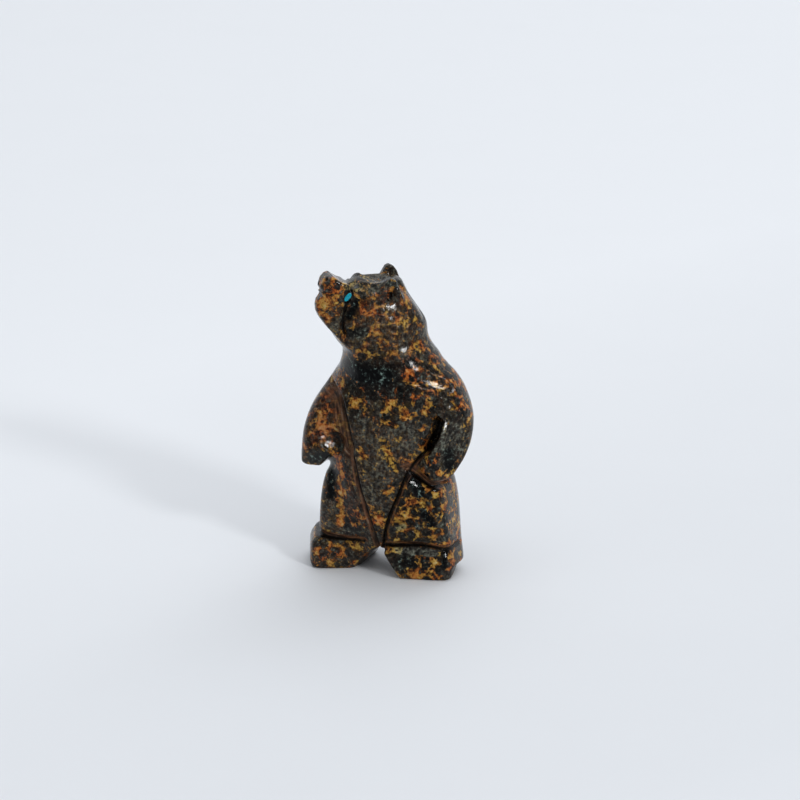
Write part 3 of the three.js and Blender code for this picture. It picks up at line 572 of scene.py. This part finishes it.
# Veins and single spots over that on the front, and some marks of painted shade and one of painted
# reflection, as paths of (across, up) with their half width, and along them the ochre, its rust,
# the black of the rest and how pale it is. In them the ochre and the dark do not run together.
VEINS = [
    ("leg streak", [(-6.2, 20.8), (-5.7, 19.0), (-6.1, 16.3), (-6.4, 13.6), (-6.4, 11.3), (-6.6, 8.7)],
     1.1, 0.97, 0.8, 0.2, 0),
    # Painted shade: a black band down the outer edge of the right leg.
    ("leg shadow", [(-8.2, 17.6), (-8.4, 13.5)], 1.0, 0.03, 0.3, 1.0, 0),
    ("knee", [(-5.6, 7.6), (-3.4, 7.3)], 0.8, 0.03, 0.3, 0.4, 0),
    ("shin branch", [(-5.2, 9.2), (-3.4, 9.1)], 0.5, 0.95, 0.2, 0.9, 0),
    ("belly net", [(2.6, 25.0), (3.4, 22.3), (4.3, 20.4)], 0.9, 0.85, 0.1, 0.3, 0),
    ("belly corner", [(-2.0, 23.3), (-1.0, 21.8)], 0.8, 0.85, 0.2, 0.3, 0),
    ("belly rim", [(4.2, 17.6), (2.6, 15.6)], 0.7, 0.85, 0.3, 0.2, 0),
    ("belly tip", [(-1.6, 8.9), (0.3, 9.9), (1.5, 11.0)], 0.7, 0.97, 0.95, 0.2, 0),
    ("thigh top", [(6.6, 18.6), (7.7, 17.0), (8.6, 15.9)], 1.0, 0.03, 0, 1.0, 0),
    ("thigh low", [(9.4, 12.1), (10.3, 10.4)], 0.9, 0.1, 0, 1.0, 0),
    ("hip patch", [(9.9, 17.1), (11.8, 15.8)], 0.8, 0.95, 0.5, 0.5, 0),
    ("shin rim", [(12.2, 12.5), (12.7, 9.2), (12.6, 6.8)], 0.8, 0.8, 0.5, 0.4, 0),
    ("shin pale", [(3.6, 8.8), (5.4, 9.5)], 0.55, 0.95, 0, 0, 0.9),
    ("foot pale", [(4.0, 5.6), (4.9, 4.9)], 0.6, 0.95, 0, 0, 0.8),
    # Painted reflection: the scoop on top of the left foot is made a plain soft grey for the light it
    # mirrors.
    ("foot scoop", [(5.6, 5.0), (10.8, 5.0)], 0.7, 0.02, 0, 0, 0),
    ("foot streak", [(12.4, 5.4), (12.6, 2.6)], 0.5, 0.02, 0, 1.0, 0),
    ("foot ochre", [(8.0, 1.0), (11.5, 1.2)], 1.0, 0.92, 0.5, 0.6, 0),
    ("chest spot", [(4.6, 34.3), (5.2, 33.3)], 0.6, 0.97, 0.3, 0.9, 0),
    ("chest ring", [(3.0, 31.4), (2.2, 30.2), (2.7, 28.8), (4.5, 28.1)], 0.65, 0.92, 0.3, 0.9, 0),
    ("chest branch", [(5.6, 29.4), (7.4, 30.0), (10.2, 31.3)], 0.7, 0.92, 0.1, 0.5, 0),
    ("chest orange", [(6.7, 33.2), (8.1, 31.8)], 0.8, 0.85, 0.7, 0.5, 0),
    ("collar rust", [(5.8, 38.9), (6.6, 36.8), (7.4, 35.2)], 0.8, 0.8, 0.9, 0.7, 0),
    ("breast", [(-4.3, 31.8), (-2.9, 30.4)], 0.7, 0.75, 0.2, 0.6, 0),
    ("pocket rim", [(8.4, 28.8), (8.5, 26.4), (8.7, 24.4), (9.1, 22.9)], 0.6, 0.95, 0.3, 0.3, 0),
    ("paw branch", [(8.9, 24.0), (9.8, 22.6), (11.0, 21.4), (11.9, 19.8)], 0.55, 0.95, 0.45, 0.6, 0),
    ("paw twig", [(11.0, 21.4), (11.7, 23.4)], 0.35, 0.95, 0.3, 0.6, 0),
    # Painted shade: black down the front of the left paw.
    ("paw shadow", [(12.9, 23.6), (13.1, 20.6)], 0.8, 0.03, 0, 0.9, 0),
    ("shoulder streak", [(10.5, 36.3), (12.3, 34.7), (13.5, 32.8), (14.4, 29.8)], 0.5, 0.8, 0.7, 0.5, 0),
    # Painted shade: the down-facing end of the right paw is made black.
    ("paw end", [(-11.5, 19.9), (-8.7, 21.2)], 1.0, 0.02, 0, 0.9, 0),
    ("bib", [(-3.4, 36.6), (2.2, 36.6)], 2.1, 0.02, 0.6, 1.0, 0),
    # Painted shade: the pit of the left ear is made black.
    ("ear pit", [(1.8, 50.4), (1.8, 49.4)], 0.3, 0.02, 0, 1.0, 0),
    ("ear knob", [(1.8, 52.3), (2.8, 52.0)], 0.8, 0.02, 0, 0.5, 0),
    ("jowl", [(-4.0, 43.9), (-1.7, 44.2)], 1.3, 0.04, 0, 0.6, 0),
    # Painted shade: black on the cheek's front behind the eye.
    ("behind the eye", [(-3.0, 49.3), (-4.3, 46.6)], 0.7, 0.06, 0, 1.0, 0),
    ("brow", [(-4.4, 51.6), (-2.8, 51.5)], 0.7, 0.8, 0, 0, 0.7),
    ("brow grey", [(-2.4, 51.2), (-0.4, 51.5)], 0.9, 0.35, 0.8, 0, 0.5),
]
centres = np.array([row[1] for row in PATCHES])
spread = np.array([row[2] for row in PATCHES])
looks = np.array([row[3:] for row in PATCHES])
apart = np.linalg.norm(points[:, None, :] - centres[None], axis=2) / spread
weight = np.exp(-apart ** 2)
total = weight.sum(1) + EVERYWHERE_COUNTS
mixed = (weight @ looks + EVERYWHERE_COUNTS * np.array(EVERYWHERE)) / total[:, None]
x, y, z = points.T
pale = np.zeros(len(points))
for _, path, half, *look in VEINS:
    away = np.abs(beside(x, z, eased(path))[0])
    inside = (1 - fade(away, 0.4 * half, 1.3 * half)) * fade(-y, -1, 1)
    for column, value in ((0, look[0]), (1, look[1]), (3, look[2]), (4, 0.0)):
        mixed[:, column] += (value - mixed[:, column]) * inside
    pale = np.maximum(pale, look[3] * inside)
amount = np.clip(mixed[:, 0], 0.01, 0.99)
# The share as a shift of the noise that the ochre is cut from, in its standard deviations. One
# of them is worth about 1.7 of the share's log odds.
LOG_ODDS = 1.7
amount = np.log(amount / (1 - amount)) / LOG_ODDS
coarse, fine = np.sqrt(mixed[:, 2]), np.sqrt(1 - mixed[:, 2])
mottle = np.stack([coarse, fine, -0.5 * (coarse + fine)], 1)

# The filed walls keep the marks of the file, which run along each groove. The bottom of each
# filed groove, the pocket behind the left arm and the crease behind the cheek are painted near
# black, as painted shade.
filed = np.zeros(len(points))
painted_shade = np.zeros(len(points))
strokes = np.zeros((len(points), 3))
# The bottom of each filed groove and the pocket get painted shade, near black.
for name, (path, low, high, _, start, share) in FRONT_LINES.items():
    across, along = beside(x, z, path)
    wide = across if high > low else -across
    reach = max(high, low)
    front = fade(-y, start + 1, start + 3)
    wall = share * fade(wide, -0.1, 0.15) * (1 - fade(wide, 0.75 * reach, reach)) * front
    better = wall > filed
    filed = np.where(better, wall, filed)
    strokes[better] = np.stack([across, along, np.zeros_like(along)], 1)[better]
    if share:
        painted_shade = np.maximum(painted_shade, (1 - fade(np.abs(across), 0.1, 0.35)) * front)
    elif name == "pocket":
        painted_shade = np.maximum(painted_shade, 0.85 * (1 - fade(np.abs(across), 0.7, 1.2)) * front)
fore, aside = points[:, :2] @ FORE, points[:, :2] @ ASIDE
# The crease behind the cheek gets painted shade too.
across, _ = beside(fore, z, HEAD_LINES["cheek crease"][0])
crease_shade = (1 - fade(np.abs(across), 0.1, 0.35)) * fade(np.abs(aside), 1, 2) * fade(z, 42, 44)
painted_shade = np.maximum(painted_shade, crease_shade)

for name, values in (("ochre", amount), ("rust", mixed[:, 1]), ("black", mixed[:, 3]), ("pale", pale),
                     ("wash", mixed[:, 4]), ("filed", filed), ("painted_shade", painted_shade)):
    carving.data.attributes.new(name, "FLOAT", "POINT").data.foreach_set(
        "value", values.astype(np.float32))
for name, values in (("strokes", strokes), ("mottle", mottle)):
    carving.data.attributes.new(name, "FLOAT_VECTOR", "POINT").data.foreach_set(
        "vector", values.astype(np.float32).ravel())


def paint(code):
    """A colour given as sRGB hex, as the linear values that Blender works in."""
    channels = [int(code[i:i + 2], 16) / 255 for i in (1, 3, 5)]
    return (*(c / 12.92 if c <= 0.04045 else ((c + 0.055) / 1.055) ** 2.4 for c in channels), 1.0)


def add(tree, kind, inputs, stops=(), **settings):
    """Adds a node. An input is a value, another node's socket, or a node for its result."""
    made = tree.nodes.new(kind)
    for name, value in settings.items():
        setattr(made, name, value)
    for i, (place, colour) in enumerate(stops):
        if i == len(made.color_ramp.elements) - 1 and i < len(stops) - 1:
            made.color_ramp.elements.new(place)
        made.color_ramp.elements[i].position = place
        made.color_ramp.elements[i].color = paint(colour)
    for name, value in inputs.items():
        socket = made.inputs[name] if isinstance(name, int) else next(
            s for s in made.inputs if s.name == name and s.enabled)
        if isinstance(value, bpy.types.Node):
            value = next(o for o in value.outputs if o.enabled)
        if isinstance(value, bpy.types.NodeSocket):
            tree.links.new(value, socket)
        else:
            socket.default_value = value
    return made


def new_material(name):
    made = bpy.data.materials.new(name)
    made.use_nodes = True
    made.node_tree.nodes.clear()
    return made


# Polished jasper: dark rounded grains in a net of ochre, under a buffed face that mirrors
# the lights sharply. The filed walls show it dull and brown with fine parallel marks.
jasper = new_material("buffed_jasper")
t = jasper.node_tree
place = add(t, "ShaderNodeTexCoord", {}).outputs["Object"]
# Each pattern is laid out in mm, so one of scale 0.5 has features about 2 mm across.
mm = add(t, "ShaderNodeVectorMath", {0: place, "Scale": 1 / MM}, operation="SCALE")
drift = add(t, "ShaderNodeTexNoise", {
    "Vector": mm, "Scale": 0.7, "Detail": 3.0, "Roughness": 0.55}).outputs["Color"]
shift = add(t, "ShaderNodeVectorMath", {0: drift, 1: (0.5, 0.5, 0.5)}, operation="SUBTRACT")
warped = add(t, "ShaderNodeVectorMath", {0: shift, 1: (1.1, 1.1, 1.1), 2: mm}, operation="MULTIPLY_ADD")
nudged = add(t, "ShaderNodeVectorMath", {0: shift, 1: (0.5, 0.5, 0.5), 2: mm}, operation="MULTIPLY_ADD")
ochre_share = add(t, "ShaderNodeAttribute", {}, attribute_name="ochre").outputs["Fac"]
rustiness = add(t, "ShaderNodeAttribute", {}, attribute_name="rust").outputs["Fac"]
blackness = add(t, "ShaderNodeAttribute", {}, attribute_name="black").outputs["Fac"]
paleness = add(t, "ShaderNodeAttribute", {}, attribute_name="pale").outputs["Fac"]
washed = add(t, "ShaderNodeAttribute", {}, attribute_name="wash").outputs["Fac"]
mottling = add(t, "ShaderNodeAttribute", {}, attribute_name="mottle").outputs["Vector"]
filed_wall = add(t, "ShaderNodeAttribute", {}, attribute_name="filed").outputs["Fac"]
file_marks = add(t, "ShaderNodeAttribute", {}, attribute_name="strokes").outputs["Vector"]
painted_shade_fac = add(t, "ShaderNodeAttribute", {}, attribute_name="painted_shade").outputs["Fac"]

# Ochre fields about 3 mm across, or a finer mix of 0.6 mm specks, torn at their edges. The
# noise that they are cut from is taken to have a standard deviation of 0.085.
NOISE_DEVIATION = 0.085
blotch = add(t, "ShaderNodeTexNoise", {
    "Vector": warped, "Scale": 0.36, "Detail": 5.0, "Roughness": 0.58, "Distortion": 0.2})
speck = add(t, "ShaderNodeTexNoise", {"Vector": mm, "Scale": 1.7, "Detail": 4.0, "Roughness": 0.62})
pair = add(t, "ShaderNodeCombineXYZ", {"X": blotch, "Y": speck, "Z": 1.0})
both = add(t, "ShaderNodeVectorMath", {0: pair, 1: mottling}, operation="DOT_PRODUCT").outputs["Value"]
level = add(t, "ShaderNodeMath", {
    0: ochre_share, 1: NOISE_DEVIATION, 2: both}, operation="MULTIPLY_ADD")
field = add(t, "ShaderNodeMapRange", {
    "Value": level, "From Min": -0.02, "From Max": 0.03}, interpolation_type="SMOOTHSTEP")

# Round dark grains in the ochre, 1.7 and 0.8 mm apart.
holes = []
for spacing, low, high in ((1.7, 0.26, 0.56), (0.8, 0.0, 0.38)):
    cells = add(t, "ShaderNodeTexVoronoi", {"Vector": nudged, "Scale": 1 / spacing, "Randomness": 0.85})
    own = add(t, "ShaderNodeMapRange", {"Value": cells.outputs["Color"], "To Min": low, "To Max": high})
    holes.append(add(t, "ShaderNodeMath", {0: cells.outputs["Distance"], 1: own}, operation="SUBTRACT"))
nearer = add(t, "ShaderNodeMath", {0: holes[0], 1: holes[1]}, operation="MINIMUM")
dust = add(t, "ShaderNodeTexNoise", {"Vector": mm, "Scale": 2.4, "Detail": 3.0, "Roughness": 0.6})
dusty = add(t, "ShaderNodeMapRange", {
    "Value": dust, "From Min": 0.3, "From Max": 0.7, "To Min": -0.07, "To Max": 0.07})
torn = add(t, "ShaderNodeMath", {0: nearer, 1: dusty}, operation="ADD")
clear = add(t, "ShaderNodeMapRange", {
    "Value": torn, "From Min": -0.04, "From Max": 0.06}, interpolation_type="SMOOTHSTEP")
ochre_mask = add(t, "ShaderNodeMath", {0: field, 1: clear}, operation="MULTIPLY")

# The ochre is brown at its edges, and turns to orange and to olive from place to place.
inward = add(t, "ShaderNodeMath", {0: torn, 1: 0.25}, operation="MULTIPLY")
rim = add(t, "ShaderNodeMath", {0: level, 1: inward}, operation="MINIMUM")
edge = add(t, "ShaderNodeMapRange", {
    "Value": rim, "From Min": 0.0, "From Max": 0.09, "To Min": -0.1, "To Max": 0.03})
hue = add(t, "ShaderNodeTexNoise", {"Vector": warped, "Scale": 1.1, "Detail": 6.0, "Roughness": 0.72})
tone = add(t, "ShaderNodeMath", {0: hue, 1: edge}, operation="ADD")
ochre = add(t, "ShaderNodeValToRGB", {"Fac": tone}, stops=[
    (0.34, "#2c1e12"), (0.42, "#684a22"), (0.49, "#a07c36"), (0.56, "#be9c4c"), (0.68, "#b6b07c")])
rust = add(t, "ShaderNodeValToRGB", {"Fac": tone}, stops=[
    (0.34, "#32180e"), (0.42, "#723818"), (0.49, "#a85c28"), (0.56, "#bc7838"), (0.68, "#c09a6c")])
light = add(t, "ShaderNodeValToRGB", {"Fac": tone}, stops=[
    (0.36, "#4c4834"), (0.46, "#84805c"), (0.6, "#a8a684")])
wander = add(t, "ShaderNodeTexNoise", {"Vector": warped, "Scale": 0.5, "Detail": 3.0, "Roughness": 0.6})
turn = add(t, "ShaderNodeMapRange", {
    "Value": wander, "From Min": 0.35, "From Max": 0.65, "To Min": -0.6, "To Max": 0.55})
rusty = add(t, "ShaderNodeMath", {0: rustiness, 1: turn}, operation="ADD", use_clamp=True)
warm = add(t, "ShaderNodeMix", {"Factor": rusty, "A": ochre, "B": rust}, data_type="RGBA")
warm = add(t, "ShaderNodeMix", {"Factor": paleness, "A": warm, "B": light}, data_type="RGBA")

# The rest is charcoal, nearly black in some places and a soft grey in others, with pale clouds
# in it and paler edges to the grains.
grain = add(t, "ShaderNodeMapRange", {
    "Value": torn, "From Min": -0.1, "From Max": 0.25, "To Min": -0.05, "To Max": 0.05})
cloud = add(t, "ShaderNodeTexNoise", {"Vector": mm, "Scale": 1.7, "Detail": 5.0, "Roughness": 0.7})
shade = add(t, "ShaderNodeMath", {0: cloud, 1: grain}, operation="ADD")
black_rest = add(t, "ShaderNodeValToRGB", {"Fac": shade}, stops=[
    (0.44, "#030303"), (0.52, "#0a0a0a"), (0.58, "#1c201e"), (0.64, "#465450"), (0.71, "#82968e")])
grey_rest = add(t, "ShaderNodeValToRGB", {"Fac": shade}, stops=[
    (0.36, "#1a1a19"), (0.45, "#302f2c"), (0.52, "#484742"), (0.6, "#66675c"), (0.72, "#8e9284")])
charcoal = add(t, "ShaderNodeMix", {
    "Factor": blackness, "A": grey_rest, "B": black_rest}, data_type="RGBA")
# Where the two run together, each takes up to 0.3 of the other.
TAKEN = 0.3
least = add(t, "ShaderNodeMath", {0: washed, 1: TAKEN}, operation="MULTIPLY")
most = add(t, "ShaderNodeMath", {0: washed, 1: -TAKEN, 2: 1.0}, operation="MULTIPLY_ADD")
ochre_part = add(t, "ShaderNodeMapRange", {"Value": ochre_mask, "To Min": least, "To Max": most})
stone = add(t, "ShaderNodeMix", {"Factor": ochre_part, "A": charcoal, "B": warm}, data_type="RGBA")

# File marks on the walls of the grooves, ten times as long as they are wide, and painted shade below.
marks = add(t, "ShaderNodeVectorMath", {0: file_marks, 1: (2.6, 0.25, 1.0)}, operation="MULTIPLY")
mark = add(t, "ShaderNodeTexNoise", {"Vector": marks, "Scale": 1.0, "Detail": 3.0, "Roughness": 0.6})
dull = add(t, "ShaderNodeValToRGB", {"Fac": mark}, stops=[
    (0.34, "#140e0a"), (0.46, "#4c3020"), (0.56, "#84583a"), (0.68, "#94806c")])
filed_part = add(t, "ShaderNodeMath", {0: filed_wall, 1: 0.85}, operation="MULTIPLY")
colour = add(t, "ShaderNodeMix", {"Factor": filed_part, "A": stone, "B": dull}, data_type="RGBA")
# Painted shade: near black in the groove bottoms, the pocket and the cheek crease.
colour = add(t, "ShaderNodeMix", {"Factor": painted_shade_fac, "A": colour, "B": paint("#0a0705")}, data_type="RGBA")
duller = add(t, "ShaderNodeMapRange", {"Value": ochre_mask, "To Min": 0.1, "To Max": 0.18})
gloss = add(t, "ShaderNodeMix", {"Factor": filed_wall, "A": duller, "B": 0.42}, data_type="FLOAT")

# The buffed face is not quite even, the ochre is made to lie 0.02 mm below the grains, and the
# file's marks are up to 0.1 mm deep.
ripple = add(t, "ShaderNodeTexNoise", {"Vector": mm, "Scale": 2.2, "Detail": 4.0, "Roughness": 0.6})
relief = add(t, "ShaderNodeBump", {"Height": ripple, "Strength": 1.0, "Distance": 0.03 * MM})
relief = add(t, "ShaderNodeBump", {
    "Height": ochre_mask, "Strength": 1.0, "Distance": 0.02 * MM, "Normal": relief}, invert=True)
scored = add(t, "ShaderNodeMath", {0: mark, 1: filed_wall}, operation="MULTIPLY")
relief = add(t, "ShaderNodeBump", {
    "Height": scored, "Strength": 1.0, "Distance": 0.1 * MM, "Normal": relief})
surface = add(t, "ShaderNodeBsdfPrincipled", {
    "Base Color": colour, "Roughness": gloss, "IOR": 1.54, "Specular IOR Level": 0.28,
    "Normal": relief})
add(t, "ShaderNodeOutputMaterial", {"Surface": surface})
carving.data.materials.append(jasper)
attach(carving, "root")
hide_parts("bear")

# The eyes
# Two chips of turquoise, ground to ovals with a low dome, glued into sockets in the sides
# of the muzzle and buffed with the stone around them.

# The middle of an eye and its size in mm, how far the fore end of its length tips down, and how
# far it faces forward.
EYE = {"fore": 8.05, "aside": 3.2, "up": 50.0, "half length": 0.88, "half width": 0.43}
EYE_LEAN = math.radians(52)
EYE_FACES_FORE = math.radians(8)
# How far a chip goes back into the stone, how far its rim stands out and how high its dome is
# on that. The glue round it is a wider, lower body of the same shape.
EYE_BACK, EYE_RIM, EYE_DOME = 0.9, 0.02, 0.2
GLUE_WIDER, GLUE_LOWER = 0.13, 0.1
EYE_SIDES = 40


def lathe(profile, sides):
    """A closed body turned from a profile of (radius, height) that starts and ends on its axis."""
    angles = np.arange(sides) / sides * 2 * math.pi
    rings = [(r * np.cos(angles), r * np.sin(angles), np.full(sides, h)) for r, h in profile[1:-1]]
    points = [(0, 0, profile[0][1])]
    for ring in rings:
        points += list(zip(*ring))
    points.append((0, 0, profile[-1][1]))
    faces = []
    for i in range(sides):
        j = (i + 1) % sides
        faces.append((0, 1 + j, 1 + i))
        for k in range(len(rings) - 1):
            a, b = 1 + k * sides, 1 + (k + 1) * sides
            faces.append((a + i, a + j, b + j))
            faces.append((a + i, b + j, b + i))
        a = 1 + (len(rings) - 1) * sides
        faces.append((a + i, a + j, len(points) - 1))
    return np.array(points), faces


turquoise = new_material("buffed_turquoise")
t = turquoise.node_tree
place = add(t, "ShaderNodeTexCoord", {}).outputs["Object"]
cloud = add(t, "ShaderNodeTexNoise", {"Vector": place, "Scale": 1.6 / MM, "Detail": 3.0, "Roughness": 0.6})
tint = add(t, "ShaderNodeValToRGB", {"Fac": cloud}, stops=[
    (0.3, "#067f94"), (0.5, "#0a9bb0"), (0.7, "#3db8c4")])
surface = add(t, "ShaderNodeBsdfPrincipled", {"Base Color": tint, "Roughness": 0.22, "IOR": 1.61})
add(t, "ShaderNodeOutputMaterial", {"Surface": surface})

glue = new_material("dried_resin_glue")
t = glue.node_tree
place = add(t, "ShaderNodeTexCoord", {}).outputs["Object"]
cloud = add(t, "ShaderNodeTexNoise", {"Vector": place, "Scale": 3.0 / MM, "Detail": 2.0})
tint = add(t, "ShaderNodeValToRGB", {"Fac": cloud}, stops=[(0.35, "#1a0f08"), (0.65, "#3a2414")])
surface = add(t, "ShaderNodeBsdfPrincipled", {"Base Color": tint, "Roughness": 0.35, "IOR": 1.5})
add(t, "ShaderNodeOutputMaterial", {"Surface": surface})

for node, side in (("eye_left", 1), ("eye_right", -1)):
    fore = np.append(FORE, 0)
    aside = np.append(ASIDE, 0)
    outward = side * math.cos(EYE_FACES_FORE) * aside + math.sin(EYE_FACES_FORE) * fore
    level = fore - outward * (fore @ outward)
    level /= np.linalg.norm(level)
    long = level * math.cos(EYE_LEAN) - np.array([0, 0, 1]) * math.sin(EYE_LEAN)
    short = np.cross(outward, long)
    centre = EYE["fore"] * fore + side * EYE["aside"] * aside + np.array([0, 0, EYE["up"]])
    dome = [(math.cos(a), EYE_RIM + EYE_DOME * math.sin(a))
            for a in np.linspace(0, math.pi / 2, 9)[:-1]]
    profile = [(0, -EYE_BACK), (1, -EYE_BACK), *dome, (0, EYE_RIM + EYE_DOME)]
    for name, wider, lower, material in (
        (node + "_stone", 0.0, 0.0, turquoise), (node + "_glue", GLUE_WIDER, GLUE_LOWER, glue),
    ):
        shape, faces = lathe([(r, h - lower) for r, h in profile], EYE_SIDES)
        spot = (centre + shape[:, :1] * (EYE["half length"] + wider) * long
                + shape[:, 1:2] * (EYE["half width"] + wider) * short + shape[:, 2:] * outward)
        eye = mesh_of(name, (spot - MIDDLE) * MM, faces)
        eye.data.materials.append(material)
        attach(eye, "root")
        if material == turquoise:
            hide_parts(node)

# The table
# A sheet of pale matt paper, six metres square, that the bear stands on. Its greys are set so
# that the sheet and what the stone mirrors of it look as they do in the photograph.

# The azimuth and elevation that the photograph is taken from.
VIEW = (22, 17)
PAPER_HALF = 3.0

def toward(azimuth, elevation):
    a, e = math.radians(azimuth), math.radians(elevation)
    return Vector((math.sin(a) * math.cos(e), -math.cos(a) * math.cos(e), math.sin(e)))


ends = np.array([(-1, -1, 0), (1, -1, 0), (1, 1, 0), (-1, 1, 0)])
floor = mesh_of("paper_sheet", ends * PAPER_HALF, [(0, 1, 2, 3)])
paper = new_material("matt_paper")
t = paper.node_tree
place = add(t, "ShaderNodeTexCoord", {}).outputs["Object"]
fibre = add(t, "ShaderNodeTexNoise", {"Vector": place, "Scale": 30.0, "Detail": 2.0})
# The paper is a little greyer at the front right, which evens out the light on it.
paler = add(t, "ShaderNodeVectorMath", {
    0: place, 1: toward(245, 0)}, operation="DOT_PRODUCT").outputs["Value"]
paler = add(t, "ShaderNodeMapRange", {
    "Value": paler, "From Min": -0.1, "From Max": 0.12, "To Max": 0.9})
paler = add(t, "ShaderNodeMath", {0: fibre, 1: 0.1, 2: paler}, operation="MULTIPLY_ADD")
tint = add(t, "ShaderNodeValToRGB", {"Fac": paler}, stops=[(0.05, "#d9dce0"), (0.95, "#ebeef2")])
# Mirrored rays find it grey on the camera's side of the bear, which keeps the gloss dark.
ahead = add(t, "ShaderNodeVectorMath", {
    0: place, 1: toward(VIEW[0], 0)}, operation="DOT_PRODUCT").outputs["Value"]
dim = add(t, "ShaderNodeMapRange", {"Value": ahead, "From Min": -0.01, "From Max": 0.02})
mirrored = add(t, "ShaderNodeLightPath", {}).outputs["Is Glossy Ray"]
dim = add(t, "ShaderNodeMath", {0: dim, 1: mirrored}, operation="MULTIPLY")
tint = add(t, "ShaderNodeMix", {"Factor": dim, "A": tint, "B": paint("#70747a")}, data_type="RGBA")
surface = add(t, "ShaderNodeBsdfPrincipled", {
    "Base Color": tint, "Roughness": 0.7, "Specular IOR Level": 0.3})
add(t, "ShaderNodeOutputMaterial", {"Surface": surface})
floor.data.materials.append(paper)
floor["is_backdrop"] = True

# The light
# A small softbox to the right gives the crisp glints. Wide soft lights that no polished face
# mirrors fill in from above, from behind and from the front.

AIM = Vector((0, 0, 0.03))
# Each light's azimuth and elevation, how far off it is in metres, its power, its width and
# height, and whether polished faces mirror it. The sun has an angle for a width.
for name, kind, azimuth, elevation, away, power, wide, high, seen in (
    ("softbox", "AREA", 62, 26, 0.6, 1.15, 0.09, 0.055, True),
    ("fill_top", "AREA", 180, 84, 1.35, 8.2, 1.6, 1.6, False),
    ("fill_back", "AREA", 180, 38, 1.6, 5.0, 1.2, 0.8, False),
    ("fill_front", "SUN", 10, 35, 1.0, 0.98, math.radians(130), 0, False),
):
    lamp = bpy.data.lights.new(name, kind)
    lamp.energy = power
    if kind == "AREA":
        lamp.shape, lamp.size, lamp.size_y = "RECTANGLE", wide, high
    else:
        lamp.angle = wide
    light = bpy.data.objects.new(name, lamp)
    bpy.context.scene.collection.objects.link(light)
    light.location = AIM + toward(azimuth, elevation) * away
    light.rotation_euler = toward(azimuth, elevation).to_track_quat("Z", "Y").to_euler()
    light.visible_glossy = seen

# The world lights the bear mostly from behind, and shows the camera one pale tone.
world = bpy.data.worlds.new("studio")
bpy.context.scene.world = world
world.use_nodes = True
t = world.node_tree
t.nodes.clear()
way = add(t, "ShaderNodeTexCoord", {}).outputs["Generated"]
behind = add(t, "ShaderNodeVectorMath", {
    0: way, 1: toward(VIEW[0] + 180, 10)}, operation="DOT_PRODUCT").outputs["Value"]
pale = add(t, "ShaderNodeMapRange", {
    "Value": behind, "From Min": 0.1, "From Max": 0.8, "To Min": 0.12, "To Max": 0.9})
seen = add(t, "ShaderNodeLightPath", {}).outputs["Is Camera Ray"]
strength = add(t, "ShaderNodeMix", {"Factor": seen, "A": pale, "B": 0.85}, data_type="FLOAT")
sky = add(t, "ShaderNodeBackground", {"Color": paint("#eef2f8"), "Strength": strength})
add(t, "ShaderNodeOutputWorld", {"Surface": sky})
bpy.context.scene.view_settings.view_transform = "Standard"
bpy.context.scene.view_settings.gamma = 0.92

# The camera
# A long lens 600 mm away, to the bear's front left and a little above it.

# The point in the middle of the picture, and half the picture's width there, in mm.
AIM_MM = Vector((-1.34, 8.51, 27.46)) - Vector(MIDDLE)
DISTANCE = 600
HALF_WIDTH = 70.67
camera = bpy.data.objects.new("camera", bpy.data.cameras.new("camera"))
bpy.context.scene.collection.objects.link(camera)
camera.location = (AIM_MM + toward(*VIEW) * DISTANCE) * MM
camera.rotation_euler = toward(*VIEW).to_track_quat("Z", "Y").to_euler()
camera.data.sensor_width = 36
camera.data.lens = camera.data.sensor_width / 2 * DISTANCE / HALF_WIDTH
bpy.context.scene.camera = camera

low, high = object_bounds()
